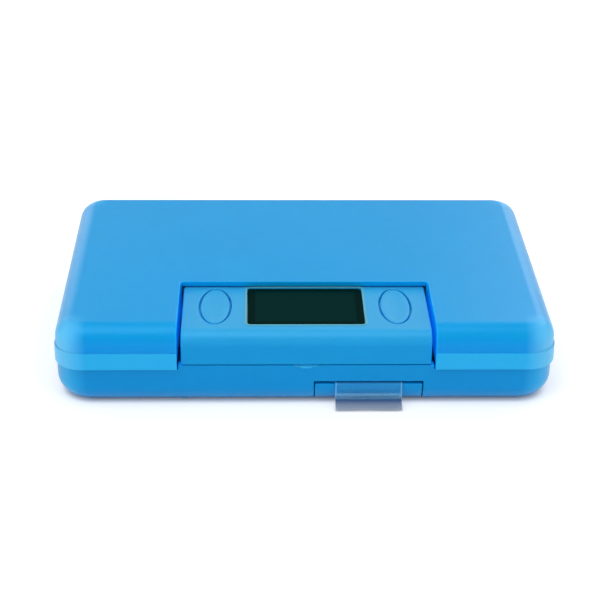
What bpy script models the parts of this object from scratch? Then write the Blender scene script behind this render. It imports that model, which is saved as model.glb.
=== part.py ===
"""Electronic pill box: a hinged case with a timer module in its front edge.

All sizes are in metres. The case stands on the plane z = 0, its middle over the origin. Its front
faces -Y, and the hinge runs along X at the back.
"""

import math

import bmesh
import bpy
from mathutils import Matrix, Vector

# Clearances that many pieces share
SEAT_GAP = 0.0003
OVERRUN = 0.002
EMBED = 0.0006
TOUCH = 0.000001
FINE_TOUCH = 0.000002

# Case
LID_WIDTH = 0.150
LID_DEPTH = 0.1022
CASE_HEIGHT = 0.0260
LID_CORNER = 0.0085
LID_FILLET = 0.0070
LID_WALL = 0.0016
SKIRT_PROUD = 0.0004
SKIRT_LOW = 0.0125
SKIRT_HEIGHT = 0.0054
SKIRT_EDGE = 0.0003

BASE_SIDE_PROUD = 0.0002
BASE_FRONT_INSET = 0.0008
BASE_CORNER = 0.0112
BASE_FILLET = 0.0064
BASE_FLOOR = 0.0018
BASE_INSIDE_FILLET = 0.0030
RIM_CLEARANCE = 0.0005
RIM_WALL = 0.0015
RIM_EDGE = 0.0004
SEAM_TOP = 0.0134
PRY_SCOOP_WIDTH = 0.0120
PRY_SCOOP_HEIGHT = 0.0034
PRY_SCOOP_REACH = 0.00285
PRY_SCOOP_DEPTH = 0.0006
PRY_SCOOP_RISE = 0.0001

# Hinge
HINGE_BARREL_RADIUS = 0.00175
HINGE_PIN_RADIUS = 0.0008
HINGE_PIN_CLEARANCE = 0.00015
HINGE_WALL_GAP = 0.0004
HINGE_RISE = 0.0001
HINGE_INSET = 0.030
HINGE_BASE_KNUCKLE = 0.0080
HINGE_LID_KNUCKLE = 0.0050
HINGE_KNUCKLE_GAP = 0.0004
HINGE_WEB_DROP = 0.0038

# Pill tray
TRAY_CLEARANCE = 0.0003
TRAY_LID_GAP = 0.0014
TRAY_WALL = 0.0012
TRAY_FLOOR = 0.0010
TRAY_MODULE_GAP = 0.0004
WELL_CORNER = 0.0035
WELL_SCOOP = 0.0030

# Timer module, with its cover and the notch that the lid leaves for it
MODULE_OFFSET = 0.0002
MODULE_MARGIN = 0.00555
NOTCH_SIDE_GAP = 0.0012
NOTCH_LAP = 0.0015
NOTCH_CORNER = 0.0015
NOTCH_FLANGE_WALL = 0.0014
NOTCH_FLANGE_LOW = 0.0162
NOTCH_FLANGE_SWING = 0.0012
BAY_WALL = 0.0015
COVER_DROP = 0.0020
COVER_TOP_WALL = 0.0015
COVER_FILLET = 0.0050
COVER_EDGE = 0.0004
COVER_BOSS_RADIUS = 0.0017
COVER_BOSS_STEP = 0.0005
BOSS_INSET = 0.0034
BOSS_WALL_LAP = 0.0002

# Display
WINDOW_WIDTH = 0.0355
WINDOW_CORNER = 0.0012
WINDOW_MARGIN = 0.00095
WINDOW_REAR_MARGIN = 0.0003
WINDOW_RECESS = 0.00015
WINDOW_THICKNESS = 0.00165
WINDOW_CLEARANCE = 0.00025
WINDOW_EDGE = 0.00025
BEZEL_WIDTH = 0.0007
BEZEL_PROUD = 0.00018
GLASS_THICKNESS = 0.0010
GLASS_LEDGE = 0.0015
GLASS_LAP = 0.0006
HOLDER_WALL = 0.0009
HOLDER_LEDGE = 0.0008
HOLDER_LEDGE_THICKNESS = 0.0005
STRIP_HEIGHT = 0.0040
STRIP_THICKNESS = 0.0018
STRIP_END_INSET = 0.0020

# Push buttons and their switches
BUTTON_WIDTH = 0.0088
BUTTON_WINDOW_GAP = 0.0053
BUTTON_FRONT_MARGIN = 0.0022
BUTTON_REAR_MARGIN = 0.0014
BUTTON_CLEARANCE = 0.00045
BUTTON_FLANGE = 0.0004
BUTTON_FLANGE_THICKNESS = 0.0008
BUTTON_EDGE = 0.0003
BUTTON_STEM_RADIUS = 0.0016
BUTTON_TRAVEL = 0.0005
BUTTON_STOP_GAP = 0.0001
SWITCH_SIDE = 0.0060
SWITCH_HEIGHT = 0.0026
SWITCH_EDGE = 0.0004
PLUNGER_RADIUS = 0.0017
PLUNGER_HEIGHT = 0.0008

# Circuit board and what is soldered to it
BOARD_THICKNESS = 0.0012
BOARD_CLEARANCE = 0.0005
BOARD_NOTCH_CLEARANCE = 0.00035
CHIP_RADIUS = 0.0045
CHIP_HEIGHT = 0.0013
CHIP_EDGE = 0.0012
CHIP_OFFSET = 0.0040
CRYSTAL_RADIUS = 0.0010
CRYSTAL_LENGTH = 0.0060
CRYSTAL_OFFSET = 0.0100
BUZZER_RADIUS = 0.0060
BUZZER_HEIGHT = 0.0048
BUZZER_EDGE = 0.0004
BUZZER_HOLE_RADIUS = 0.0010
BUZZER_HOLE_DEPTH = 0.0020
SOUND_HOLE_RADIUS = 0.0008
SOUND_RING_RADIUS = 0.0028

# Coin cell, its drawer and contacts
CELL_DIAMETER = 0.0200
CELL_THICKNESS = 0.0032
CELL_CAP_INSET = 0.0012
CELL_CAP_HEIGHT = 0.0004
CELL_CLEARANCE = 0.00025
DRAWER_SIDE_WALL = 0.00075
DRAWER_PANEL_LAP = 0.00515
DRAWER_PANEL_THICKNESS = 0.0022
DRAWER_PANEL_LAND = 0.0009
DRAWER_REAR_WALL = 0.00105
DRAWER_LIFT = 0.0002
DRAWER_POCKET_LEVEL = 0.0033
DRAWER_FLOOR = 0.0012
DRAWER_UNDER_WALL = 0.0012
DRAWER_UNDER_RIB = 0.0010
DRAWER_PANEL_WRAP = 0.0041
DRAWER_SKIN = 0.0001
DRAWER_RIM_DROP = 0.0002
DRAWER_PANEL_RISE = 0.0001
DRAWER_LIP = 0.0007
DRAWER_LIP_THICKNESS = 0.0008
DRAWER_BOSS_GAP = 0.0008
DRAWER_WRAP_BOSS_GAP = 0.0004
DRAWER_TRAVEL = 0.0240
RAIL_WALL = 0.0010
RAIL_COVER = 0.0007
RAIL_LENGTH = 0.0100
CONTACT_WIDTH = 0.0050
CONTACT_THICKNESS = 0.0003
CONTACT_SLOT_CLEARANCE = 0.0007
CONTACT_SPACE = 0.0069
CONTACT_FOOT = 0.0035
CONTACT_FOOT_INSET = 0.0009
CONTACT_TOE = 0.0015
CONTACT_TOE_RISE = 0.0008

# Pull tab, a film as wide as the cell
FILM_THICKNESS = 0.00025
FILM_CELL_GAP = 0.0004
FILM_FRONT_GAP = 0.0004
FILM_BEND = 0.0006
FILM_LEAN = 0.0002
FILM_FOLD_HEIGHT = 0.0033
FILM_FLAP_LENGTH = 0.0037
FILM_FLAP_SAG = 0.0004
FILM_TABLE_GAP = 0.0004
FILM_INNER_LENGTH = 0.0215

# Screws
SCREW_BOSS_RADIUS = 0.0027
SCREW_HEAD_RADIUS = 0.0018
SCREW_HEAD_HEIGHT = 0.0014
SCREW_HEAD_CLEARANCE = 0.0003
SCREW_HEAD_EDGE = 0.0004
SCREW_SEAT = 0.0022
SCREW_SHANK_RADIUS = 0.0009
SCREW_LENGTH = 0.0110
SCREW_HOLE_CLEARANCE = 0.0002
SCREW_BOSS_TOP = 0.0080
SCREW_SLOT_WIDTH = 0.0005
SCREW_SLOT_LENGTH = 0.0022
SCREW_SLOT_DEPTH = 0.0007

# Facets in a quarter turn and in a full turn
CORNER_STEPS = 7
FILLET_STEPS = 5
ROUND_STEPS = 24
OVAL_STEPS = 32
SMOOTH_ANGLE = math.radians(32)

# Colour (linear), roughness and metallic value of each material
BLUE = (0.045, 0.330, 0.700)
MATERIALS = {
    "base_blue": ((0.030, 0.270, 0.640), 0.38, 0.0),
    "lid_blue": (BLUE, 0.34, 0.0),
    "cover_blue": (BLUE, 0.34, 0.0),
    "button_blue": (BLUE, 0.34, 0.0),
    "tray_white": ((0.78, 0.82, 0.84), 0.40, 0.0),
    "window_dark": ((0.004, 0.022, 0.016), 0.10, 0.0),
    "glass_grey": ((0.20, 0.25, 0.21), 0.12, 0.0),
    "holder_white": ((0.72, 0.72, 0.70), 0.50, 0.0),
    "strip_grey": ((0.16, 0.16, 0.17), 0.70, 0.0),
    "board_green": ((0.015, 0.120, 0.045), 0.45, 0.0),
    "chip_black": ((0.008, 0.008, 0.009), 0.30, 0.0),
    "switch_black": ((0.012, 0.012, 0.013), 0.45, 0.0),
    "steel": ((0.56, 0.57, 0.58), 0.28, 1.0),
    "nickel": ((0.62, 0.60, 0.56), 0.24, 1.0),
    "film": ((0.44, 0.46, 0.66), 0.25, 0.0),
}

# Heights of the case, from the table up
base_half_width = LID_WIDTH / 2 + BASE_SIDE_PROUD
base_half_depth = LID_DEPTH / 2 - BASE_FRONT_INSET
shoulder = SKIRT_LOW - SEAT_GAP
lid_underside = CASE_HEIGHT - LID_WALL
rim_top = CASE_HEIGHT - LID_FILLET
rim_half_width = LID_WIDTH / 2 - LID_WALL - RIM_CLEARANCE
rim_half_depth = LID_DEPTH / 2 - LID_WALL - RIM_CLEARANCE
rim_corner = LID_CORNER - LID_WALL - RIM_CLEARANCE
inside_half_width = rim_half_width - RIM_WALL
inside_half_depth = rim_half_depth - RIM_WALL
inside_corner = rim_corner - RIM_WALL
case_front = -base_half_depth
hinge_y = LID_DEPTH / 2 + HINGE_WALL_GAP + HINGE_BARREL_RADIUS
hinge_z = SKIRT_LOW + HINGE_RISE
hinge_x = LID_WIDTH / 2 - HINGE_INSET
hinge_hole_radius = HINGE_PIN_RADIUS + HINGE_PIN_CLEARANCE

# Drawer and cell, from the front panel back
pocket_radius = CELL_DIAMETER / 2 + CELL_CLEARANCE
drawer_half = pocket_radius + DRAWER_SIDE_WALL
drawer_lip_half = drawer_half + DRAWER_LIP
drawer_panel_half = drawer_half + DRAWER_PANEL_LAP
drawer_panel_rear = case_front + DRAWER_PANEL_THICKNESS
wrap_rear = case_front + DRAWER_PANEL_WRAP
cell_y = drawer_panel_rear + DRAWER_PANEL_LAND + pocket_radius
drawer_rear = cell_y + pocket_radius + DRAWER_REAR_WALL
pocket_floor = DRAWER_LIFT + DRAWER_POCKET_LEVEL
cell_low = pocket_floor + SEAT_GAP
cell_top = cell_low + CELL_THICKNESS
drawer_rim = cell_top - DRAWER_RIM_DROP
drawer_panel_top = cell_top + DRAWER_PANEL_RISE
film_low = cell_top + FILM_CELL_GAP
film_middle = film_low + FILM_THICKNESS / 2
film_top = film_low + FILM_THICKNESS
slot_top = film_top + SEAT_GAP

# Module, from the middle out and from the lid down
button_x = WINDOW_WIDTH / 2 + BUTTON_WINDOW_GAP + BUTTON_WIDTH / 2
module_half = button_x + BUTTON_WIDTH / 2 + MODULE_MARGIN
bay_half = module_half - BAY_WALL
bay_front = -inside_half_depth
bay_rear = drawer_rear + CONTACT_SPACE
module_rear = bay_rear + BAY_WALL
notch_half = module_half + NOTCH_SIDE_GAP
raised_half = notch_half - SEAT_GAP
notch_rear = module_rear - NOTCH_LAP
flange_half = notch_half + NOTCH_FLANGE_WALL
tray_notch_half = flange_half + TRAY_MODULE_GAP
tray_notch_rear = module_rear + TRAY_MODULE_GAP
cover_top = CASE_HEIGHT - COVER_DROP
cover_underside = cover_top - COVER_TOP_WALL
cover_low = SEAM_TOP + SEAT_GAP
panel_front = case_front + COVER_FILLET
screw_x = module_half - BOSS_INSET
boss_step_radius = COVER_BOSS_RADIUS + COVER_BOSS_STEP
screw_front = wrap_rear + SEAT_GAP + DRAWER_WRAP_BOSS_GAP + SCREW_BOSS_RADIUS
screw_rear = bay_rear - boss_step_radius + BOSS_WALL_LAP
drawer_x = MODULE_OFFSET + screw_x - SCREW_BOSS_RADIUS - DRAWER_BOSS_GAP - drawer_lip_half

# Display stack, from the window down to the board
window_front = panel_front + WINDOW_MARGIN
window_rear = bay_rear - WINDOW_REAR_MARGIN
window_depth = window_rear - window_front
window_y = (window_front + window_rear) / 2
window_top = cover_top - WINDOW_RECESS
glass_top = window_top - WINDOW_THICKNESS - SEAT_GAP
glass_low = glass_top - 2 * GLASS_THICKNESS
glass_width = WINDOW_WIDTH + 2 * GLASS_LAP
holder_rear = bay_rear - SEAT_GAP
holder_front = window_front - GLASS_LAP - SEAT_GAP - HOLDER_WALL
glass_front = holder_front + HOLDER_WALL + SEAT_GAP
glass_rear = holder_rear - HOLDER_WALL - SEAT_GAP
strip_top = glass_low - SEAT_GAP
board_top = strip_top - STRIP_HEIGHT - SEAT_GAP
board_low = board_top - BOARD_THICKNESS
soldered_low = board_top + SEAT_GAP
soldered_top = board_low - SEAT_GAP

# Buttons, between the front bend of the cover and its rear wall
button_front = panel_front + BUTTON_FRONT_MARGIN
button_rear = bay_rear - BUTTON_REAR_MARGIN
button_depth = button_rear - button_front
button_y = (button_front + button_rear) / 2
button_flange_top = cover_underside - SEAT_GAP
switch_top = soldered_low + SWITCH_HEIGHT
plunger_top = switch_top + PLUNGER_HEIGHT
button_stem_low = plunger_top + BUTTON_TRAVEL + BUTTON_STOP_GAP


def clear_scene():
    """Removes every object, so that the script can run twice in one file."""
    for item in list(bpy.data.objects):
        bpy.data.objects.remove(item, do_unlink=True)


def make_material(name):
    """A Principled material from the table of materials."""
    colour, roughness, metallic = MATERIALS[name]
    material = bpy.data.materials.new(name)
    material.use_nodes = True
    shader = material.node_tree.nodes["Principled BSDF"]
    shader.inputs["Base Color"].default_value = (*colour, 1.0)
    shader.inputs["Roughness"].default_value = roughness
    shader.inputs["Metallic"].default_value = metallic
    material.diffuse_color = (*colour, 1.0)
    return material


def to_object(name, bm):
    """Turns a bmesh into an object whose faces point outwards."""
    bmesh.ops.recalc_face_normals(bm, faces=bm.faces)
    mesh = bpy.data.meshes.new(name)
    bm.to_mesh(mesh)
    bm.free()
    obj = bpy.data.objects.new(name, mesh)
    bpy.context.scene.collection.objects.link(obj)
    return obj


def rounded_outline(width, depth, corner, steps=CORNER_STEPS):
    """Points of a rounded rectangle about the origin, turning left."""
    turns = ((1, 1), (-1, 1), (-1, -1), (1, -1))
    points = []
    for quarter, (side_x, side_y) in enumerate(turns):
        middle_x = side_x * (width / 2 - corner)
        middle_y = side_y * (depth / 2 - corner)
        for step in range(steps + 1):
            angle = math.pi / 2 * (quarter + step / steps)
            points.append((middle_x + corner * math.cos(angle), middle_y + corner * math.sin(angle)))
    return points


def oval_outline(width, depth, steps=OVAL_STEPS):
    """Points of an ellipse about the origin, turning left."""
    turn = 2 * math.pi / steps
    return [(width / 2 * math.cos(turn * i), depth / 2 * math.sin(turn * i)) for i in range(steps)]


def extruded(outline, low, high):
    """A bmesh of the outline, raised from low to high."""
    bm = bmesh.new()
    face = bm.faces.new([bm.verts.new((x, y, low)) for x, y in outline])
    grown = bmesh.ops.extrude_face_region(bm, geom=[face])
    raised = [item for item in grown["geom"] if isinstance(item, bmesh.types.BMVert)]
    bmesh.ops.translate(bm, verts=raised, vec=(0, 0, high - low))
    bmesh.ops.recalc_face_normals(bm, faces=bm.faces)
    return bm


def round_level(bm, level, radius, steps):
    """Bevels the edges that lie flat at one height."""
    edges = [e for e in bm.edges if all(abs(v.co.z - level) < TOUCH for v in e.verts)]
    bmesh.ops.bevel(
        bm,
        geom=edges,
        offset=radius,
        offset_type="OFFSET",
        affect="EDGES",
        segments=steps,
        profile=0.5,
        material=-1,
        clamp_overlap=False,
    )


def prism(name, outline, low, high, x=0.0, y=0.0, top_edge=0.0, low_edge=0.0, steps=FILLET_STEPS):
    """An upright prism on an outline, with its top and low edges rounded on request."""
    bm = extruded(outline, low, high)
    if top_edge:
        round_level(bm, high, top_edge, steps)
    if low_edge:
        round_level(bm, low, low_edge, steps)
    bmesh.ops.translate(bm, verts=bm.verts, vec=(x, y, 0))
    return to_object(name, bm)


def end_profile(name, points, front, rear):
    """A solid whose outline is given in the XZ plane and drawn out along Y."""
    bm = bmesh.new()
    face = bm.faces.new([bm.verts.new((x, front, z)) for x, z in points])
    grown = bmesh.ops.extrude_face_region(bm, geom=[face])
    moved = [item for item in grown["geom"] if isinstance(item, bmesh.types.BMVert)]
    bmesh.ops.translate(bm, verts=moved, vec=(0, rear - front, 0))
    return to_object(name, bm)


def block(name, low_corner, high_corner):
    """A box between two corners."""
    (x0, y0, z0), (x1, y1, z1) = low_corner, high_corner
    return prism(name, [(x0, y0), (x1, y0), (x1, y1), (x0, y1)], z0, z1)


def upright_cylinder(
    name, x, y, radius, low, high, top_edge=0.0, low_edge=0.0, edge_steps=2, steps=ROUND_STEPS
):
    """A cylinder that stands along Z."""
    outline = oval_outline(2 * radius, 2 * radius, steps)
    return prism(name, outline, low, high, x, y, top_edge, low_edge, edge_steps)


def lying_cylinder(name, left, right, y, z, radius, steps=ROUND_STEPS):
    """A cylinder that lies along X."""
    bm = extruded(oval_outline(2 * radius, 2 * radius, steps), left, right)
    turn = Matrix.Rotation(math.pi / 2, 3, "Y")
    bmesh.ops.rotate(bm, verts=bm.verts, cent=(0, 0, 0), matrix=turn)
    bmesh.ops.translate(bm, verts=bm.verts, vec=(0, y, z))
    return to_object(name, bm)


def side_profile(name, points, left, right):
    """A solid whose outline is given in the YZ plane and drawn out along X."""
    bm = bmesh.new()
    face = bm.faces.new([bm.verts.new((left, y, z)) for y, z in points])
    grown = bmesh.ops.extrude_face_region(bm, geom=[face])
    moved = [item for item in grown["geom"] if isinstance(item, bmesh.types.BMVert)]
    bmesh.ops.translate(bm, verts=moved, vec=(right - left, 0, 0))
    return to_object(name, bm)


def combine(target, tool, operation):
    """Applies one exact Boolean to target and removes the tool."""
    modifier = target.modifiers.new("combine", "BOOLEAN")
    modifier.operation = operation
    modifier.solver = "EXACT"
    modifier.object = tool
    bpy.context.view_layer.update()
    graph = bpy.context.evaluated_depsgraph_get()
    mesh = bpy.data.meshes.new_from_object(target.evaluated_get(graph))
    target.modifiers.clear()
    old = target.data
    target.data = mesh
    bpy.data.meshes.remove(old)
    bpy.data.objects.remove(tool, do_unlink=True)


def cut(target, *tools):
    for tool in tools:
        combine(target, tool, "DIFFERENCE")


def join(target, *tools):
    for tool in tools:
        combine(target, tool, "UNION")


def keep_common(target, tool):
    combine(target, tool, "INTERSECT")


def finish_piece(obj, name, material, origin=(0, 0, 0)):
    """Names a piece, gives it its material, smooths its rounds and puts its origin at a point."""
    obj.name = name
    obj.data.name = name
    obj.data.materials.clear()
    obj.data.materials.append(material)
    obj.data.transform(Matrix.Translation(-Vector(origin)))
    obj.location = origin
    obj.data.shade_smooth()
    obj.data.set_sharp_from_angle(angle=SMOOTH_ANGLE)
    return obj


def screw_places():
    """The four screw centres, as (x, y)."""
    return [
        (MODULE_OFFSET + side * screw_x, y) for y in (screw_front, screw_rear) for side in (-1, 1)
    ]


def base_form(name, top, inset=0.0):
    """The outside of the lower case, up to a height, or a form that lies inside it."""
    width = 2 * (base_half_width - inset)
    depth = 2 * (base_half_depth - inset)
    outline = rounded_outline(width, depth, BASE_CORNER - inset)
    return prism(name, outline, inset, top, low_edge=BASE_FILLET - inset)


def rim_form(name, low, high, top_edge=0.0):
    """The rim that stands inside the lid."""
    outline = rounded_outline(2 * rim_half_width, 2 * rim_half_depth, rim_corner)
    return prism(name, outline, low, high, top_edge=top_edge, steps=1)


def make_base_tub():
    """The lower case: outer wall to the shoulder, rim inside the lid, and a high front wall in the notch."""
    tub = base_form("base_tub", SEAM_TOP)
    shoulder_outline = rounded_outline(LID_WIDTH + 2 * OVERRUN, LID_DEPTH + 2 * OVERRUN, LID_CORNER)
    shoulder_cutter = prism("shoulder_cutter", shoulder_outline, shoulder, SEAM_TOP + OVERRUN)
    notch_front = block(
        "notch_front",
        (MODULE_OFFSET - raised_half, -LID_DEPTH, shoulder - OVERRUN),
        (MODULE_OFFSET + raised_half, bay_rear, SEAM_TOP + 2 * OVERRUN),
    )
    cut(shoulder_cutter, rim_form("rim_core", shoulder - OVERRUN, SEAM_TOP + 2 * OVERRUN), notch_front)
    cut(tub, shoulder_cutter)
    join(tub, rim_form("rim", shoulder - OVERRUN, rim_top, RIM_EDGE))
    inside = rounded_outline(2 * inside_half_width, 2 * inside_half_depth, inside_corner)
    cut(tub, prism("tub_inside", inside, BASE_FLOOR, rim_top + OVERRUN, low_edge=BASE_INSIDE_FILLET, steps=3))
    return tub


def add_module_bay(tub):
    """The walls that stand round the timer module, and the gap that they leave in the rim."""
    rim_gap = block(
        "rim_gap",
        (MODULE_OFFSET - tray_notch_half, -LID_DEPTH, SEAM_TOP),
        (MODULE_OFFSET + tray_notch_half, module_rear, rim_top + OVERRUN),
    )
    side_gaps = block(
        "side_gaps",
        (MODULE_OFFSET - tray_notch_half, -LID_DEPTH, shoulder),
        (MODULE_OFFSET + tray_notch_half, module_rear, SEAM_TOP + OVERRUN),
    )
    between = block(
        "between",
        (MODULE_OFFSET - raised_half, -LID_DEPTH - OVERRUN, shoulder - OVERRUN),
        (MODULE_OFFSET + raised_half, module_rear + OVERRUN, SEAM_TOP + 2 * OVERRUN),
    )
    cut(side_gaps, between)
    cut(tub, rim_gap, side_gaps)
    bay = block(
        "bay",
        (MODULE_OFFSET - module_half, bay_front - EMBED, BASE_FLOOR - EMBED),
        (MODULE_OFFSET + module_half, module_rear, SEAM_TOP),
    )
    bay_inside = block(
        "bay_inside",
        (MODULE_OFFSET - bay_half, bay_front - OVERRUN, BASE_FLOOR - OVERRUN),
        (MODULE_OFFSET + bay_half, bay_rear, SEAM_TOP + OVERRUN),
    )
    cut(bay, bay_inside)
    join(tub, bay)


def add_screw_bosses(tub):
    """Four posts under the module, drilled for the screws and their heads."""
    hole = SCREW_SHANK_RADIUS + SCREW_HOLE_CLEARANCE
    recess = SCREW_HEAD_RADIUS + SCREW_HEAD_CLEARANCE
    for x, y in screw_places():
        join(tub, upright_cylinder("boss", x, y, SCREW_BOSS_RADIUS, BASE_FLOOR - EMBED, SCREW_BOSS_TOP))
        cut(
            tub,
            upright_cylinder("hole", x, y, hole, -OVERRUN, SCREW_BOSS_TOP + OVERRUN),
            upright_cylinder("recess", x, y, recess, -OVERRUN, SCREW_SEAT),
        )


def cut_drawer_slot(tub):
    """The opening in the front wall and in the floor that the battery drawer closes."""
    panel_half = drawer_panel_half + SEAT_GAP
    body_half = drawer_half + SEAT_GAP
    lip_half = drawer_lip_half + SEAT_GAP
    cut(
        tub,
        block(
            "panel_slot",
            (drawer_x - panel_half, -LID_DEPTH, -OVERRUN),
            (drawer_x + panel_half, wrap_rear + SEAT_GAP, slot_top),
        ),
        block(
            "lip_slot",
            (drawer_x - lip_half, case_front, BASE_FLOOR + SEAT_GAP / 2),
            (drawer_x + lip_half, bay_front + BASE_INSIDE_FILLET + OVERRUN, slot_top - TOUCH),
        ),
        block(
            "body_slot",
            (drawer_x - body_half, case_front, -OVERRUN),
            (drawer_x + body_half, drawer_rear + SEAT_GAP, slot_top - FINE_TOUCH),
        ),
    )


def add_drawer_rails(tub):
    """An angle rail on each side of the drawer, which holds its lip down."""
    hook_low = BASE_FLOOR + SEAT_GAP + DRAWER_LIP_THICKNESS + SEAT_GAP
    hook_top = hook_low + RAIL_COVER
    tip = drawer_half + SEAT_GAP
    inner = drawer_lip_half + SEAT_GAP
    outer = inner + RAIL_WALL
    middle_y = (screw_front + screw_rear) / 2
    foot = BASE_FLOOR - EMBED
    for side in (-1, 1):
        wall = [(inner, foot), (outer, foot), (outer, hook_top)]
        hook = [(tip, hook_top), (tip, hook_low), (inner, hook_low)]
        points = [(drawer_x + side * x, z) for x, z in wall + hook]
        join(tub, end_profile("rail", points, middle_y - RAIL_LENGTH / 2, middle_y + RAIL_LENGTH / 2))


def cut_sound_holes(tub):
    """A hole under the middle of the buzzer, and a ring of five round it."""
    x, y = buzzer_place()
    top = BASE_FLOOR + OVERRUN
    cut(tub, upright_cylinder("sound_hole", x, y, SOUND_HOLE_RADIUS, -OVERRUN, top, steps=10))
    ring_holes = 5
    for i in range(ring_holes):
        angle = 2 * math.pi * i / ring_holes
        hole_x = x + SOUND_RING_RADIUS * math.cos(angle)
        hole_y = y + SOUND_RING_RADIUS * math.sin(angle)
        hole = upright_cylinder(
            "sound_hole", hole_x, hole_y, SOUND_HOLE_RADIUS, -OVERRUN, BASE_FLOOR + OVERRUN, steps=10
        )
        cut(tub, hole)


def cut_pry_scoop(tub):
    """The small scoop for a finger nail, at the middle of the front seam."""
    bm = bmesh.new()
    bmesh.ops.create_icosphere(bm, subdivisions=3, radius=1)
    shape = Matrix.Diagonal((PRY_SCOOP_WIDTH / 2, PRY_SCOOP_REACH, PRY_SCOOP_HEIGHT / 2, 1))
    middle_y = case_front - PRY_SCOOP_REACH + PRY_SCOOP_DEPTH
    middle = (MODULE_OFFSET, middle_y, SEAM_TOP + PRY_SCOOP_RISE)
    place = Matrix.Translation(middle)
    bmesh.ops.transform(bm, matrix=place @ shape, verts=bm.verts)
    cut(tub, to_object("pry_scoop", bm))


def hinge_knuckle(name, left, right, wall_y, web_low, web_high, slope):
    """A barrel on the hinge axis with the web that carries it from a wall."""
    barrel = lying_cylinder(name, left, right, hinge_y, hinge_z, HINGE_BARREL_RADIUS)
    web = [
        (wall_y, web_low - slope),
        (hinge_y, web_low),
        (hinge_y, web_high),
        (wall_y, web_high),
    ]
    join(barrel, side_profile("web", web, left + TOUCH, right - TOUCH))
    return barrel


def hinge_groups():
    """The middle of each of the two hinges along X."""
    return (-hinge_x, hinge_x)


def hinge_hole(middle):
    """The bore of one hinge, through all its knuckles."""
    reach = HINGE_BASE_KNUCKLE / 2 + HINGE_KNUCKLE_GAP + HINGE_LID_KNUCKLE + OVERRUN
    return lying_cylinder("hinge_hole", middle - reach, middle + reach, hinge_y, hinge_z, hinge_hole_radius)


def add_base_knuckles(tub):
    for middle in hinge_groups():
        knuckle = hinge_knuckle(
            "base_knuckle",
            middle - HINGE_BASE_KNUCKLE / 2,
            middle + HINGE_BASE_KNUCKLE / 2,
            base_half_depth - EMBED,
            hinge_z - HINGE_BARREL_RADIUS + SEAT_GAP,
            shoulder - SEAT_GAP,
            HINGE_WEB_DROP - HINGE_BARREL_RADIUS,
        )
        cut(knuckle, hinge_hole(middle))
        join(tub, knuckle)


def make_base_shell(material):
    tub = make_base_tub()
    add_module_bay(tub)
    add_screw_bosses(tub)
    add_drawer_rails(tub)
    cut_drawer_slot(tub)
    cut_sound_holes(tub)
    cut_pry_scoop(tub)
    add_base_knuckles(tub)
    return finish_piece(tub, "base_shell", material)


def lid_form(name, low, inset=0.0):
    """The outside of the lid above a height, without its skirt, or a form that lies inside it."""
    outline = rounded_outline(LID_WIDTH - 2 * inset, LID_DEPTH - 2 * inset, LID_CORNER - inset)
    return prism(name, outline, low, CASE_HEIGHT - inset, top_edge=LID_FILLET - inset)


def make_lid_shell():
    """The domed lid with its skirt band, hollowed from below."""
    shell = lid_form("lid_shell", SKIRT_LOW + SKIRT_EDGE)
    outline = rounded_outline(
        LID_WIDTH + 2 * SKIRT_PROUD, LID_DEPTH + 2 * SKIRT_PROUD, LID_CORNER + SKIRT_PROUD
    )
    skirt = prism(
        "skirt",
        outline,
        SKIRT_LOW,
        SKIRT_LOW + SKIRT_HEIGHT,
        top_edge=SKIRT_EDGE,
        low_edge=SKIRT_EDGE,
        steps=2,
    )
    join(shell, skirt)
    inside = rounded_outline(LID_WIDTH - 2 * LID_WALL, LID_DEPTH - 2 * LID_WALL, LID_CORNER - LID_WALL)
    cut(
        shell,
        prism("lid_inside", inside, SKIRT_LOW - OVERRUN, lid_underside, top_edge=LID_FILLET - LID_WALL),
    )
    return shell


def add_notch_flanges(shell):
    """A wall down each side of the notch, under the lid's top."""
    for side in (-1, 1):
        xs = sorted((side * (notch_half - EMBED), side * flange_half))
        flange = block(
            "flange",
            (MODULE_OFFSET + xs[0], -LID_DEPTH, NOTCH_FLANGE_LOW),
            (MODULE_OFFSET + xs[1], module_rear - NOTCH_FLANGE_SWING, CASE_HEIGHT + OVERRUN),
        )
        keep_common(flange, lid_form("flange_limit", SKIRT_LOW, EMBED))
        join(shell, flange)


def cut_notch(shell):
    """The opening in the lid's top and front wall that the timer module fills."""
    length = notch_rear + LID_DEPTH
    bm = extruded(rounded_outline(2 * notch_half, length, NOTCH_CORNER, 3), 0, CASE_HEIGHT + OVERRUN)
    bmesh.ops.translate(bm, verts=bm.verts, vec=(MODULE_OFFSET, notch_rear - length / 2, 0))
    cut(shell, to_object("notch", bm))


def add_lid_knuckles(shell):
    """Two knuckles at each hinge, and the pocket in the skirt where the base's knuckle turns."""
    pocket = HINGE_BARREL_RADIUS + SEAT_GAP
    for middle in hinge_groups():
        half = HINGE_BASE_KNUCKLE / 2 + SEAT_GAP
        cut(shell, lying_cylinder("pocket", middle - half, middle + half, hinge_y, hinge_z, pocket))
        half = HINGE_BASE_KNUCKLE / 2 + HINGE_KNUCKLE_GAP
        for side in (-1, 1):
            xs = sorted((middle + side * half, middle + side * (half + HINGE_LID_KNUCKLE)))
            knuckle = hinge_knuckle(
                "lid_knuckle",
                xs[0],
                xs[1],
                LID_DEPTH / 2 - EMBED,
                SKIRT_LOW + SKIRT_EDGE + HINGE_RISE,
                hinge_z + HINGE_BARREL_RADIUS - SEAT_GAP,
                0,
            )
            cut(knuckle, hinge_hole(middle))
            join(shell, knuckle)


def make_lid(material):
    shell = make_lid_shell()
    add_notch_flanges(shell)
    cut_notch(shell)
    add_lid_knuckles(shell)
    return finish_piece(shell, "lid", material, (0, hinge_y, hinge_z))


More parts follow.
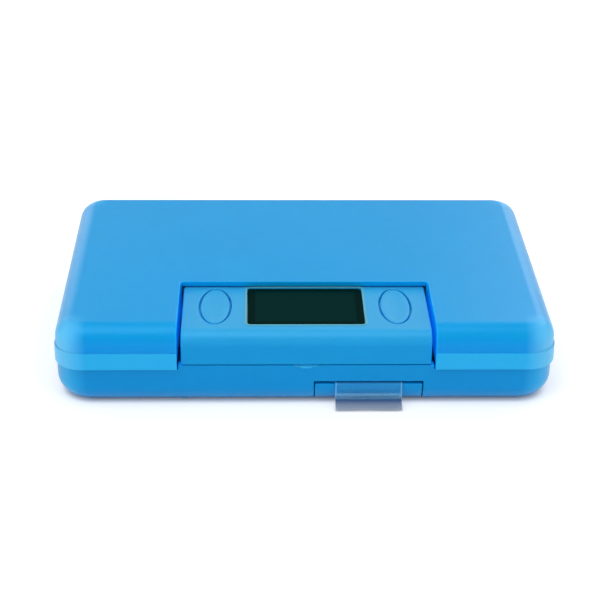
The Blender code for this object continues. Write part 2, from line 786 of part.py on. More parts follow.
def make_hinge_pin(name, middle, material):
    reach = HINGE_BASE_KNUCKLE / 2 + HINGE_KNUCKLE_GAP + HINGE_LID_KNUCKLE
    pin = lying_cylinder(name, middle - reach, middle + reach, hinge_y, hinge_z, HINGE_PIN_RADIUS, 16)
    return finish_piece(pin, name, material, (middle, hinge_y, hinge_z))


def well_boxes():
    """The eight pill compartments, as (low x, low y, high x, high y)."""
    outer_x = inside_half_width - TRAY_CLEARANCE - TRAY_WALL
    outer_y = inside_half_depth - TRAY_CLEARANCE - TRAY_WALL
    middle_front = tray_notch_rear + TRAY_WALL
    middle_rear = outer_y
    middle_split = (middle_front + middle_rear) / 2
    half_wall = TRAY_WALL / 2
    wells = []
    for side in (-1, 1):
        inner = MODULE_OFFSET + side * (tray_notch_half + TRAY_WALL)
        side_xs = sorted((inner, side * outer_x))
        wells.append((side_xs[0], -outer_y, side_xs[1], -half_wall))
        wells.append((side_xs[0], half_wall, side_xs[1], outer_y))
        middle_xs = sorted((side * half_wall, inner - side * TRAY_WALL))
        wells.append((middle_xs[0], middle_front, middle_xs[1], middle_split - half_wall))
        wells.append((middle_xs[0], middle_split + half_wall, middle_xs[1], middle_rear))
    return wells


def make_pill_tray(material):
    """One thin-walled insert round the module, with eight scooped wells."""
    low = BASE_FLOOR + SEAT_GAP
    top = lid_underside - TRAY_LID_GAP
    outline = rounded_outline(
        2 * (inside_half_width - TRAY_CLEARANCE),
        2 * (inside_half_depth - TRAY_CLEARANCE),
        inside_corner - TRAY_CLEARANCE,
    )
    tray = prism("tray", outline, low, top, low_edge=BASE_INSIDE_FILLET, steps=3)
    around_module = block(
        "around_module",
        (MODULE_OFFSET - tray_notch_half, -LID_DEPTH, low - OVERRUN),
        (MODULE_OFFSET + tray_notch_half, tray_notch_rear, top + OVERRUN),
    )
    cut(tray, around_module)
    for x0, y0, x1, y1 in well_boxes():
        well = prism(
            "well",
            rounded_outline(x1 - x0, y1 - y0, WELL_CORNER, 4),
            low + TRAY_FLOOR,
            top + OVERRUN,
            (x0 + x1) / 2,
            (y0 + y1) / 2,
            low_edge=WELL_SCOOP,
            steps=3,
        )
        cut(tray, well)
    return finish_piece(tray, "pill_tray", material)


def cover_form(name, half, front, rear, low, top, fillet, edge):
    """The module cover's bent shell: a wide radius at the front of the top, small ones at its sides."""
    bend = [(front, low), (rear, low), (rear, top)]
    middle_y = front + fillet
    middle_z = top - fillet
    for step in range(FILLET_STEPS + 1):
        angle = math.pi / 2 * (1 + step / FILLET_STEPS)
        bend.append((middle_y + fillet * math.cos(angle), middle_z + fillet * math.sin(angle)))
    form = side_profile(name, bend, MODULE_OFFSET - half, MODULE_OFFSET + half)
    if edge:
        bm = bmesh.new()
        bm.from_mesh(form.data)
        ends = (MODULE_OFFSET - half, MODULE_OFFSET + half)
        side_edges = [
            e
            for e in bm.edges
            if any(all(abs(v.co.x - end) < TOUCH for v in e.verts) for end in ends)
            and not all(abs(v.co.z - low) < TOUCH for v in e.verts)
            and not all(abs(v.co.y - rear) < TOUCH for v in e.verts)
        ]
        bmesh.ops.bevel(
            bm,
            geom=side_edges,
            offset=edge,
            offset_type="OFFSET",
            affect="EDGES",
            segments=2,
            profile=0.5,
            material=-1,
        )
        bm.to_mesh(form.data)
        bm.free()
    return form


def make_module_cover(material):
    """The cover with its bezel, display and button openings, and the bosses for the screws."""
    cover = cover_form(
        "cover", module_half, case_front, module_rear, cover_low, cover_top, COVER_FILLET, COVER_EDGE
    )
    cut(
        cover,
        cover_form(
            "cover_inside",
            bay_half,
            case_front + BAY_WALL,
            bay_rear,
            cover_low - OVERRUN,
            cover_underside,
            COVER_FILLET - BAY_WALL,
            0,
        ),
    )
    bezel_width = WINDOW_WIDTH + 2 * BEZEL_WIDTH
    bezel_depth = window_depth + 2 * BEZEL_WIDTH
    bezel = prism(
        "bezel",
        rounded_outline(bezel_width, bezel_depth, WINDOW_CORNER + BEZEL_WIDTH, 4),
        cover_top - EMBED,
        cover_top + BEZEL_PROUD,
        MODULE_OFFSET,
        window_y,
        top_edge=BEZEL_PROUD / 2,
        steps=1,
    )
    join(cover, bezel)
    opening = rounded_outline(WINDOW_WIDTH, window_depth, WINDOW_CORNER, 4)
    low = cover_underside - OVERRUN
    cut(cover, prism("opening", opening, low, cover_top + OVERRUN, MODULE_OFFSET, window_y))
    hole = oval_outline(BUTTON_WIDTH + 2 * BUTTON_CLEARANCE, button_depth + 2 * BUTTON_CLEARANCE)
    for side in (-1, 1):
        x = MODULE_OFFSET + side * button_x
        cut(cover, prism("button_hole", hole, cover_underside - OVERRUN, cover_top + OVERRUN, x, button_y))
    add_cover_bosses(cover)
    return finish_piece(cover, "module_cover", material)


def add_cover_bosses(cover):
    """Stepped bosses: the step holds the board, the lower part takes the screw."""
    boss_low = SCREW_BOSS_TOP + SEAT_GAP
    step_low = board_top + SEAT_GAP
    pilot_top = SCREW_SEAT + SCREW_LENGTH + SEAT_GAP
    pilot = SCREW_SHANK_RADIUS + SCREW_HOLE_CLEARANCE
    for x, y in screw_places():
        boss = upright_cylinder("cover_boss", x, y, COVER_BOSS_RADIUS, boss_low, step_low + EMBED)
        join(boss, upright_cylinder("step", x, y, boss_step_radius, step_low, cover_underside + EMBED))
        join(cover, boss)
        cut(cover, upright_cylinder("pilot", x, y, pilot, boss_low - OVERRUN, pilot_top, steps=16))


def make_display_window(material):
    width = WINDOW_WIDTH - 2 * WINDOW_CLEARANCE
    depth = window_depth - 2 * WINDOW_CLEARANCE
    outline = rounded_outline(width, depth, WINDOW_CORNER - WINDOW_CLEARANCE, 4)
    window = prism(
        "window",
        outline,
        window_top - WINDOW_THICKNESS,
        window_top,
        MODULE_OFFSET,
        window_y,
        top_edge=WINDOW_EDGE,
        steps=2,
    )
    return finish_piece(window, "display_window", material)


def make_lcd_panel(material):
    """Two sheets of glass, the lower one longer at the front for its contacts."""
    half = glass_width / 2
    middle = glass_low + GLASS_THICKNESS
    panel = block(
        "lower_glass",
        (MODULE_OFFSET - half, glass_front, glass_low),
        (MODULE_OFFSET + half, glass_rear, middle),
    )
    upper = block(
        "upper_glass",
        (MODULE_OFFSET - half, glass_front + GLASS_LEDGE, middle - GLASS_THICKNESS / 2),
        (MODULE_OFFSET + half, glass_rear, glass_top),
    )
    join(panel, upper)
    return finish_piece(panel, "lcd_panel", material)


def make_lcd_holder(material):
    """The frame that stands on the board round the display, with a ledge under the glass."""
    outer = glass_width / 2 + SEAT_GAP + HOLDER_WALL
    inner = glass_width / 2 + SEAT_GAP
    ledge_top = glass_low - SEAT_GAP
    frame = block(
        "frame",
        (MODULE_OFFSET - outer, holder_front, soldered_low),
        (MODULE_OFFSET + outer, holder_rear, glass_top - GLASS_THICKNESS / 2),
    )
    seat = block(
        "seat",
        (MODULE_OFFSET - inner, holder_front + HOLDER_WALL, ledge_top),
        (MODULE_OFFSET + inner, holder_rear - HOLDER_WALL, glass_top + OVERRUN),
    )
    throat_front = holder_front + HOLDER_WALL + HOLDER_LEDGE
    throat = block(
        "throat",
        (MODULE_OFFSET - inner + HOLDER_LEDGE, throat_front, soldered_low - OVERRUN),
        (MODULE_OFFSET + inner - HOLDER_LEDGE, holder_rear - HOLDER_WALL - HOLDER_LEDGE, glass_top + OVERRUN),
    )
    under = block(
        "under",
        (MODULE_OFFSET - inner, holder_front + HOLDER_WALL, soldered_low - OVERRUN),
        (MODULE_OFFSET + inner, holder_rear - HOLDER_WALL, ledge_top - HOLDER_LEDGE_THICKNESS),
    )
    cut(frame, seat, under, throat)
    return finish_piece(frame, "lcd_holder", material)


def make_strip(name, front, material):
    """A rubber strip of carbon layers that joins board and glass."""
    half = glass_width / 2 - STRIP_END_INSET
    strip = block(
        "strip",
        (MODULE_OFFSET - half, front, soldered_low),
        (MODULE_OFFSET + half, front + STRIP_THICKNESS, strip_top),
    )
    return finish_piece(strip, name, material)


def strip_fronts():
    """Where the front and the rear strip start, just inside the holder's ledge."""
    front = holder_front + HOLDER_WALL + HOLDER_LEDGE + SEAT_GAP
    rear = holder_rear - HOLDER_WALL - HOLDER_LEDGE - SEAT_GAP - STRIP_THICKNESS
    return front, rear


def make_circuit_board(material):
    """The board, with a corner cut away round each boss."""
    half = bay_half - BOARD_CLEARANCE
    front = bay_front + SEAT_GAP
    rear = bay_rear - SEAT_GAP
    board = block(
        "board",
        (MODULE_OFFSET - half, front, board_low),
        (MODULE_OFFSET + half, rear, board_top),
    )
    reach = COVER_BOSS_RADIUS + BOARD_NOTCH_CLEARANCE
    for x, y in screw_places():
        out_x = math.copysign(2 * BOSS_INSET, x - MODULE_OFFSET)
        out_y = math.copysign(2 * BOSS_INSET, y - (front + rear) / 2)
        xs = sorted((x - math.copysign(reach, out_x), x + out_x))
        ys = sorted((y - math.copysign(reach, out_y), y + out_y))
        corner = prism(
            "corner",
            rounded_outline(xs[1] - xs[0], ys[1] - ys[0], reach / 2, 3),
            board_low - OVERRUN,
            board_top + OVERRUN,
            (xs[0] + xs[1]) / 2,
            (ys[0] + ys[1]) / 2,
        )
        cut(board, corner)
    return finish_piece(board, "circuit_board", material)


def make_button(name, side, material):
    """An oval cap with a flange under the cover and a stem over its switch."""
    x = MODULE_OFFSET + side * button_x
    cap = prism(
        "cap",
        oval_outline(BUTTON_WIDTH, button_depth),
        button_flange_top - BUTTON_FLANGE_THICKNESS,
        cover_top,
        x,
        button_y,
        top_edge=BUTTON_EDGE,
        steps=2,
    )
    trim = cover_form(
        "trim", module_half, case_front, module_rear, cover_low, cover_top, COVER_FILLET, 0
    )
    keep_common(cap, trim)
    flange_width = BUTTON_WIDTH + 2 * (BUTTON_CLEARANCE + BUTTON_FLANGE)
    flange_depth = button_depth + 2 * (BUTTON_CLEARANCE + BUTTON_FLANGE)
    flange = prism(
        "flange",
        oval_outline(flange_width, flange_depth),
        button_flange_top - BUTTON_FLANGE_THICKNESS - TOUCH,
        button_flange_top,
        x,
        button_y,
    )
    stem_top = button_flange_top - BUTTON_FLANGE_THICKNESS / 2
    stem = upright_cylinder(
        "stem", x, button_y, BUTTON_STEM_RADIUS, button_stem_low, stem_top, steps=16
    )
    join(cap, flange, stem)
    return finish_piece(cap, name, material, (x, button_y, cover_top))


def make_switch(name, side, material):
    """A square tact switch with its round plunger."""
    x = MODULE_OFFSET + side * button_x
    body = prism(
        "switch_body",
        rounded_outline(SWITCH_SIDE, SWITCH_SIDE, SWITCH_EDGE, 2),
        soldered_low,
        switch_top,
        x,
        button_y,
    )
    low = switch_top - EMBED
    join(body, upright_cylinder("plunger", x, button_y, PLUNGER_RADIUS, low, plunger_top, steps=16))
    return finish_piece(body, name, material)


def make_timer_chip(material):
    """The drop of black resin over the timer chip, under the board."""
    chip = upright_cylinder(
        "chip",
        MODULE_OFFSET - CHIP_OFFSET,
        button_y,
        CHIP_RADIUS,
        soldered_top - CHIP_HEIGHT,
        soldered_top,
        low_edge=CHIP_EDGE,
        edge_steps=4,
    )
    return finish_piece(chip, "timer_chip", material)


def make_quartz_crystal(material):
    """The tuning crystal, a small can lying under the board."""
    x = MODULE_OFFSET - CRYSTAL_OFFSET
    y = screw_rear
    z = soldered_top - CRYSTAL_RADIUS
    can = lying_cylinder("can", x - CRYSTAL_LENGTH / 2, x + CRYSTAL_LENGTH / 2, y, z, CRYSTAL_RADIUS, 12)
    return finish_piece(can, "quartz_crystal", material)


def buzzer_place():
    """The buzzer sits under the board at the left, as (x, y)."""
    return MODULE_OFFSET - button_x + SWITCH_SIDE / 2, button_y


def make_buzzer(material):
    x, y = buzzer_place()
    low = soldered_top - BUZZER_HEIGHT
    drum = upright_cylinder("drum", x, y, BUZZER_RADIUS, low, soldered_top, low_edge=BUZZER_EDGE)
    mouth_top = low + BUZZER_HOLE_DEPTH
    cut(drum, upright_cylinder("mouth", x, y, BUZZER_HOLE_RADIUS, low - OVERRUN, mouth_top, steps=12))
    return finish_piece(drum, "buzzer", material)


def make_coin_cell(material):
    """The cell: a wide can with a smaller cap on top."""
    cap_low = cell_top - CELL_CAP_HEIGHT
    can = upright_cylinder(
        "can",
        drawer_x,
        cell_y,
        CELL_DIAMETER / 2,
        cell_low,
        cap_low,
        top_edge=CELL_CAP_HEIGHT,
        low_edge=CELL_CAP_HEIGHT,
        steps=36,
    )
    cap_radius = CELL_DIAMETER / 2 - CELL_CAP_INSET
    join(can, upright_cylinder("cap", drawer_x, cell_y, cap_radius, cap_low - EMBED, cell_top, steps=36))
    return finish_piece(can, "coin_cell", material)


def drawer_panel():
    """The drawer's front, which follows the case round its lower edge."""
    panel = block(
        "panel",
        (drawer_x - drawer_panel_half, -LID_DEPTH, -OVERRUN),
        (drawer_x + drawer_panel_half, wrap_rear, drawer_panel_top),
    )
    keep_common(panel, base_form("panel_limit", SEAM_TOP))
    cut(panel, base_form("behind", SEAM_TOP + OVERRUN, DRAWER_PANEL_THICKNESS))
    return panel


def cut_drawer_underside(body):
    """Three hollows under the pocket's floor, with ribs between them."""
    low_y = wrap_rear + DRAWER_UNDER_WALL
    high_y = drawer_rear - DRAWER_UNDER_WALL
    inner = drawer_half - DRAWER_UNDER_WALL
    hollows = 3
    width = (2 * inner - (hollows - 1) * DRAWER_UNDER_RIB) / hollows
    for i in range(hollows):
        left = drawer_x - inner + i * (width + DRAWER_UNDER_RIB)
        cut(
            body,
            block("hollow", (left, low_y, -OVERRUN), (left + width, high_y, pocket_floor - DRAWER_FLOOR)),
        )


def make_battery_drawer(material):
    """The drawer: a front panel that continues the case, and a body with a round pocket for the cell."""
    body = block(
        "body",
        (drawer_x - drawer_half, case_front + EMBED, DRAWER_LIFT),
        (drawer_x + drawer_half, drawer_rear, drawer_rim),
    )
    lip_low = BASE_FLOOR + SEAT_GAP
    lips = block(
        "lips",
        (drawer_x - drawer_lip_half, drawer_panel_rear - EMBED, lip_low),
        (drawer_x + drawer_lip_half, drawer_rear - EMBED, lip_low + DRAWER_LIP_THICKNESS),
    )
    join(body, lips)
    keep_common(body, base_form("body_limit", SEAM_TOP, DRAWER_SKIN))
    slot_half = CONTACT_WIDTH / 2 + CONTACT_SLOT_CLEARANCE
    top = drawer_rim + OVERRUN
    cut(
        body,
        upright_cylinder("pocket", drawer_x, cell_y, pocket_radius, pocket_floor, top, steps=36),
        block(
            "contact_slot",
            (drawer_x - slot_half, cell_y, pocket_floor + EMBED),
            (drawer_x + slot_half, drawer_rear + OVERRUN, drawer_rim + OVERRUN),
        ),
    )
    cut_drawer_underside(body)
    panel = drawer_panel()
    join(panel, body)
    return finish_piece(panel, "battery_drawer", material, (drawer_x, case_front, drawer_panel_top))


def ribbon(name, path, width, thickness, middle_x, columns=1):
    """A sheet that follows a path in the YZ plane, drawn out along X and thickened."""
    bm = bmesh.new()
    left = middle_x - width / 2
    rows = [bm.verts.new((left, y, z)) for y, z in path]
    edges = [bm.edges.new((rows[i], rows[i + 1])) for i in range(len(rows) - 1)]
    for _ in range(columns):
        grown = bmesh.ops.extrude_edge_only(bm, edges=edges)["geom"]
        moved = [item for item in grown if isinstance(item, bmesh.types.BMVert)]
        bmesh.ops.translate(bm, verts=moved, vec=(width / columns, 0, 0))
        edges = [item for item in grown if isinstance(item, bmesh.types.BMEdge)]
        edges = [e for e in edges if abs(e.verts[0].co.x - e.verts[1].co.x) < TOUCH]
    obj = to_object(name, bm)
    modifier = obj.modifiers.new("thickness", "SOLIDIFY")
    modifier.thickness = thickness
    modifier.offset = 0
    modifier.use_even_offset = True
    bpy.context.view_layer.update()
    graph = bpy.context.evaluated_depsgraph_get()
    mesh = bpy.data.meshes.new_from_object(obj.evaluated_get(graph))
    obj.modifiers.clear()
    old = obj.data
    obj.data = mesh
    bpy.data.meshes.remove(old)
    bm = bmesh.new()
    bm.from_mesh(mesh)
    bmesh.ops.recalc_face_normals(bm, faces=bm.faces)
    bm.to_mesh(mesh)
    bm.free()
    return obj


def make_contact_upper(material):
    """The leaf spring that presses down on the cell through the film."""
    top = soldered_top - CONTACT_THICKNESS / 2
    low = film_top + SEAT_GAP + CONTACT_THICKNESS / 2
    foot_rear = cell_y + CELL_DIAMETER / 2
    heel = foot_rear - CONTACT_FOOT
    toe = cell_y - CONTACT_TOE
    path = [
        (foot_rear, top),
        (heel, top),
        (heel - CONTACT_FOOT_INSET, top - CONTACT_FOOT_INSET),
        (cell_y + CONTACT_TOE, low + CONTACT_TOE_RISE / 2),
        (cell_y, low),
        (toe, low + CONTACT_TOE_RISE),
    ]
    leaf = ribbon("leaf", path, CONTACT_WIDTH, CONTACT_THICKNESS, drawer_x)
    return finish_piece(leaf, "cell_contact_upper", material)


def make_contact_rear(material):
    """The leaf spring behind the cell, which touches its rim through the slot in the drawer."""
    top = soldered_top - CONTACT_THICKNESS / 2
    near = cell_y + CELL_DIAMETER / 2 + SEAT_GAP + CONTACT_THICKNESS / 2
    heel = drawer_rear + SEAT_GAP + CONTACT_THICKNESS
    path = [
        (bay_rear - CONTACT_FOOT_INSET, top),
        (heel + CONTACT_FOOT_INSET, top),
        (heel, top - CONTACT_FOOT_INSET),
        (heel, cell_top + CONTACT_TOE_RISE),
        (near, (cell_low + cell_top) / 2),
        (near + CONTACT_TOE_RISE / 2, cell_low + CONTACT_TOE_RISE),
    ]
    leaf = ribbon("leaf", path, CONTACT_WIDTH, CONTACT_THICKNESS, drawer_x)
    return finish_piece(leaf, "cell_contact_rear", material)


def bend_points(middle_y, middle_z, radius, start, end, steps):
    """Points of an arc in the YZ plane, from one angle to another in degrees."""
    points = []
    for i in range(steps + 1):
        angle = math.radians(start + (end - start) * i / steps)
        points.append((middle_y + radius * math.cos(angle), middle_z + radius * math.sin(angle)))
    return points


def film_path():
    """The film's middle line: out over the drawer, down to a fold, then forward close to the table."""
    hang_y = case_front - FILM_FRONT_GAP - FILM_THICKNESS / 2
    inner_end = case_front + FILM_INNER_LENGTH
    over = bend_points(hang_y + FILM_BEND, film_middle - FILM_BEND, FILM_BEND, 90, 180, 4)
    fold_y = hang_y - FILM_LEAN
    end_y = fold_y - FILM_FLAP_LENGTH
    middle_z = (FILM_FOLD_HEIGHT + FILM_TABLE_GAP) / 2 - FILM_FLAP_SAG
    soft = [(fold_y, FILM_FOLD_HEIGHT), (fold_y - FILM_BEND / 2, FILM_FOLD_HEIGHT - FILM_BEND)]
    flap = [((fold_y + end_y) / 2, middle_z), (end_y, FILM_TABLE_GAP)]
    return [(inner_end, film_middle), *over, *soft, *flap]


def make_pull_tab(material):
    tab = ribbon("tab", film_path(), CELL_DIAMETER, FILM_THICKNESS, drawer_x, columns=2)
    return finish_piece(tab, "pull_tab", material, (drawer_x, case_front, film_middle))


def make_screw(name, x, y, material):
    """A pan-head screw with a cross recess, head down."""
    head_low = SCREW_SEAT - SEAT_GAP - SCREW_HEAD_HEIGHT
    head_top = SCREW_SEAT - SEAT_GAP
    screw = upright_cylinder("head", x, y, SCREW_HEAD_RADIUS, head_low, head_top, low_edge=SCREW_HEAD_EDGE)
    tip = SCREW_SEAT + SCREW_LENGTH
    join(screw, upright_cylinder("shank", x, y, SCREW_SHANK_RADIUS, head_top - EMBED, tip, steps=16))
    reach = SCREW_SLOT_LENGTH / 2
    half = SCREW_SLOT_WIDTH / 2
    slot_top_z = head_low + SCREW_SLOT_DEPTH
    cut(
        screw,
        block("slot", (x - reach, y - half, head_low - OVERRUN), (x + reach, y + half, slot_top_z)),
        block("slot", (x - half, y - reach, head_low - OVERRUN), (x + half, y + reach, slot_top_z)),
    )
    return finish_piece(screw, name, material, (x, y, SCREW_SEAT))


def parent_to(child, parent):
    """Hangs one object under another without moving it."""
    bpy.context.view_layer.update()
    child.parent = parent
    child.matrix_parent_inverse = parent.matrix_world.inverted()


def build():
    clear_scene()
    paint = {name: make_material(name) for name in MATERIALS}
    case = bpy.data.objects.new("pill_box", None)
    bpy.context.scene.collection.objects.link(case)
    strip_front, strip_rear = strip_fronts()
    pieces = [
        make_base_shell(paint["base_blue"]),
        make_lid(paint["lid_blue"]),
        make_hinge_pin("hinge_pin_left", -hinge_x, paint["steel"]),
        make_hinge_pin("hinge_pin_right", hinge_x, paint["steel"]),
        make_pill_tray(paint["tray_white"]),
        make_module_cover(paint["cover_blue"]),
        make_display_window(paint["window_dark"]),
        make_lcd_panel(paint["glass_grey"]),
        make_lcd_holder(paint["holder_white"]),
        make_strip("zebra_strip_front", strip_front, paint["strip_grey"]),
        make_strip("zebra_strip_rear", strip_rear, paint["strip_grey"]),
        make_circuit_board(paint["board_green"]),
        make_switch("left_switch", -1, paint["switch_black"]),
        make_switch("right_switch", 1, paint["switch_black"]),
        make_button("left_button", -1, paint["button_blue"]),
        make_button("right_button", 1, paint["button_blue"]),
        make_timer_chip(paint["chip_black"]),
        make_quartz_crystal(paint["nickel"]),
        make_buzzer(paint["switch_black"]),
        make_contact_upper(paint["nickel"]),
        make_contact_rear(paint["nickel"]),
    ]
    for number, (x, y) in enumerate(screw_places(), 1):
        pieces.append(make_screw(f"cover_screw_{number}", x, y, paint["steel"]))
    drawer = make_battery_drawer(paint["base_blue"])
    pieces.append(drawer)
    for piece in pieces:
        parent_to(piece, case)
    for piece in (make_coin_cell(paint["nickel"]), make_pull_tab(paint["film"])):
        parent_to(piece, drawer)


if __name__ == "__main__":
    build()
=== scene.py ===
"""Looks of the electronic pill box: finished pieces, finishes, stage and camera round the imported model."""

import math

import bmesh
import bpy
from bpy.props import FloatProperty, FloatVectorProperty, PointerProperty
from mathutils import Matrix, Vector


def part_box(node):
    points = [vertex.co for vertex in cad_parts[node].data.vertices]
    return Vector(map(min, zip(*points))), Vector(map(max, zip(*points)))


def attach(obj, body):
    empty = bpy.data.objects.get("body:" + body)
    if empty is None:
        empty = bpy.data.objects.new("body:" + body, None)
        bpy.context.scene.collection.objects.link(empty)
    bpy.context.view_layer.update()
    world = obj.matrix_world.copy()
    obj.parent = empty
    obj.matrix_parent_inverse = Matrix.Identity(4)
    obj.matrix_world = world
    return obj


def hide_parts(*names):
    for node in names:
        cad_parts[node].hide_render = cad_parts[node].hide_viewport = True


bl_info = {
    "name": "Electronic pill box",
    "version": (1, 0, 0),
    "blender": (4, 5, 0),
    "location": "View3D > Sidebar > Pill box",
    "description": "Builds the shells, small parts and finishes of a pill box with a timer module",
    "category": "Object",
}

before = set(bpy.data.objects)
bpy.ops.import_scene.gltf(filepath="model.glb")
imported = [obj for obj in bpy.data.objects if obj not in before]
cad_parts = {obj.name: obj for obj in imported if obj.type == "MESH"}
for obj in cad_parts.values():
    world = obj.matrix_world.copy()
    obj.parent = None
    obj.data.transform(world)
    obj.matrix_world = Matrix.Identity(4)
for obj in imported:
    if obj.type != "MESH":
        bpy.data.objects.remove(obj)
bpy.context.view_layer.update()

GAP = 0.0003
OVER = 0.002
SINK = 0.0006
CLEAR_OUT = 0.1
TOUCH = 1e-6
SHARP = math.radians(34)

# The case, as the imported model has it
HALF_WIDTH = 0.075
HALF_DEPTH = 0.0511
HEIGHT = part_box("lid")[1].z
LID_CORNER = 0.0085
LID_WALL = 0.0016
SKIRT_LOW = 0.0125
SKIRT_HIGH = 0.0179
SKIRT_PROUD = 0.0004
BASE_HALF_WIDTH = 0.0752
BASE_HALF_DEPTH = 0.0503
BASE_CORNER = 0.0112
RING_HALF_WIDTH = 0.080
RING_HALF_DEPTH = 0.056
SHOULDER = 0.0122
SEAM = 0.0134
RIM_HALF_WIDTH = 0.0729
RIM_HALF_DEPTH = 0.0490
RIM_CORNER = 0.0064
RIM_HIGH = 0.0190
INSIDE_HALF_WIDTH = 0.0714
INSIDE_HALF_DEPTH = 0.0475
INSIDE_CORNER = 0.0049
FLOOR = 0.0018
FLOOR_ROUND = 0.003

# The timer module
MODULE_X = 0.0002
MODULE_HALF = 0.0374
BAY_HALF = 0.0359
MODULE_REAR = -0.01725
BAY_REAR = -0.01875
NOTCH_HALF = 0.0386
NOTCH_GAP = 0.0012
NOTCH_CORNER = 0.0015
RAISED_HALF = 0.0383
FLANGE_HALF = 0.0400
TRAY_NOTCH_HALF = 0.0404
COVER_TOP = 0.0240
COVER_WALL = 0.0015
BEZEL_HEIGHT = 0.00018
BEZEL_WIDTH = 0.0007
COVER_SIDE_ROUND = 0.0004
COVER_BOSS = 0.0017
COVER_BOSS_WIDE = 0.0022
WINDOW_CORNER = 0.00095
WINDOW_EDGE = 0.00025
WINDOW_CLEARANCE = 0.00025
BUTTONS = ("left_button", "right_button")
BUTTON_X = 0.02745
BUTTON_CLEARANCE = 0.00045
BUTTON_FLANGE = 0.0004
BUTTON_FLANGE_THICKNESS = 0.0008
BUTTON_HOLE_CLEARANCE = 0.00065
BUTTON_EDGE = 0.0003
BUTTON_STEM = 0.0016
# Rings of the dish: how far each lies inside the last one, and how much lower
BUTTON_DISH = ((0.0005, 0.0), (0.0009, 0.00006), (0.0010, 0.00007), (0.0010, 0.00004))
BOARD_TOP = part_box("circuit_board")[1].z
SCREW_X = 0.0340
SCREW_FRONT = -0.0428
SCREW_REAR = -0.02075
SCREW_HOLE = 0.0011
SCREW_HOLE_TOP = 0.0135
SCREW_HEAD_HOLE = 0.0021
SCREW_HEAD_DEPTH = 0.0022
BASE_BOSS = 0.0027
BASE_BOSS_TOP = 0.0080
SCOOP_HALF_WIDTH = 0.0060
SCOOP_REACH = 0.00285
SCOOP_HALF_HEIGHT = 0.0017
SCOOP_DEPTH = 0.0006
SCOOP_RISE = 0.0001
SOUND_HOLE = 0.0008
SOUND_RING = 0.0028
SOUND_HOLES = 5

# The hinge
HINGE_Y = 0.05325
HINGE_Z = 0.0126
HINGE_SPREAD = 0.045
BARREL = 0.00175
PIN_HOLE = 0.00095
BASE_KNUCKLE_HALF = 0.0040
LID_KNUCKLE = 0.0050
KNUCKLE_GAP = 0.0004
BASE_PIN_HOLE_HALF = 0.0054
WEB_DROP = 0.00205

# The tray
TRAY_WALL = 0.0012
TRAY_FLOOR = 0.0010
TRAY_MODULE_GAP = 0.0004
WELL_CORNER = 0.0035
WELL_SCOOP = 0.0030
TRAY_EDGE = 0.0003

# The battery drawer and its film
DRAWER_X = 0.0190
CELL_Y = -0.03695
DRAWER_HALF = 0.0110
DRAWER_LIP_HALF = 0.0117
DRAWER_PANEL_HALF = 0.01615
DRAWER_REAR = -0.02565
DRAWER_WALL = 0.0012
DRAWER_PANEL_WALL = 0.0022
DRAWER_RIB = 0.0010
DRAWER_LIFT = 0.0002
DRAWER_RIM_DROP = 0.0003
LIP_FRONT = -0.0481
LIP_THICKNESS = 0.0008
LIP_SLOT_REAR = -0.0425
POCKET_LEVEL = 0.0035
POCKET_RADIUS = 0.01025
POCKET_CHANNEL_HALF = 0.0032
SLOT_TOP = 0.00795
WRAP_REAR = -0.0462
RAIL_FRONT = -0.0368
RAIL_REAR = -0.0268
RAIL_WALL = 0.0010
RAIL_HOOK = 0.0005
RAIL_HOOK_THICKNESS = 0.0007
FILM_THICKNESS = 0.00014
FILM_INNER_LENGTH = 0.0215
FILM_BEND = 0.0006
FILM_LEAN = 0.0002
FILM_HANG_GAP = 0.000525
FILM_HALF_SOLID = 0.000125
FOLD_REACH = 0.0003
FOLD_HEIGHTS = (0.0026, 0.0019, 0.0012, 0.0004)
FLAP_END_GAP = 0.00012
FLAP_START = 0.0010
FLAP_LENGTH = 0.0037
FLAP_WAVES = 430.0

# Painted light and shade on the blue plastic at its marked places, as linear values
# Painted light: a paler tone on the walls and at the foot of the gap beside the module
GAP_PAINTED_LIGHT_BLUE = (0.0, 0.42, 0.97)
# Painted light: a faint blue emission in the deep gaps beside the module and round the buttons
PAINTED_GLOW_BLUE = (0.0, 0.33, 1.0, 1.0)
PAINTED_GAP_GLOW = 0.115
# Painted shade: the upright walls of the lid and the cover in a deeper blue than their tops
WALL_PAINTED_SHADE = (0.0, 0.310, 0.800)
COVER_WALL_PAINTED_SHADE = (0.002, 0.322, 0.715)
# Painted highlights: paler tones on the outer corners of the lid and of the base
CORNER_PAINTED_HIGHLIGHT = (0.115, 0.56, 0.96)
BASE_CORNER_PAINTED_HIGHLIGHT = (0.022, 0.44, 0.86)
# Painted highlight: a pale crescent on the lower edge of the finger scoop
SCOOP_PAINTED_HIGHLIGHT = (0.03, 0.46, 0.86)
# Painted highlight: a pale grey blue on the bezel round the display window
BEZEL_PAINTED_HIGHLIGHT = (0.10, 0.42, 0.55)
SOFT = 0.0001

# The stage
FLOOR_HALF = 4.0
FLOOR_WHITE = (0.80, 0.80, 0.80, 1.0)
FLOOR_LIFT = 0.36
FAR_FLOOR_LIFT = 0.62
FLOOR_NEAR = 0.7
FLOOR_FAR = 2.2
SHADOW_LINE = 0.002
WORLD_STRENGTH = 0.53
LAMP_AIM = (0, 0, 0.01)
LAMPS = (
    ("key_light", (-0.25, -0.35, 1.20), 0.90, 6.0),
    ("left_light", (-0.68, -0.59, 0.33), 0.50, 1.3),
    ("right_light", (0.68, -0.59, 0.33), 0.50, 1.3),
    ("back_light", (0.6, 0.8, 0.8), 0.90, 3.6),
    ("left_edge_light", (-0.40, 0.92, 0.20), 0.35, 0.4),
    ("right_edge_light", (0.40, 0.92, 0.20), 0.35, 0.4),
)
CAMERA_LENS = 103.05
CAMERA_SHIFT = (-0.0028, -0.0076)
CAMERA_AIM = (0, 0, 0.012)
CAMERA_DISTANCE = 0.5584
# Azimuth, elevation and roll in degrees
CAMERA_ANGLES = (-1.67, 26.16, 0.69)


def size_property(name, description, default, low, high):
    return FloatProperty(
        name=name, description=description, default=default, min=low, max=high, subtype="DISTANCE", unit="LENGTH"
    )


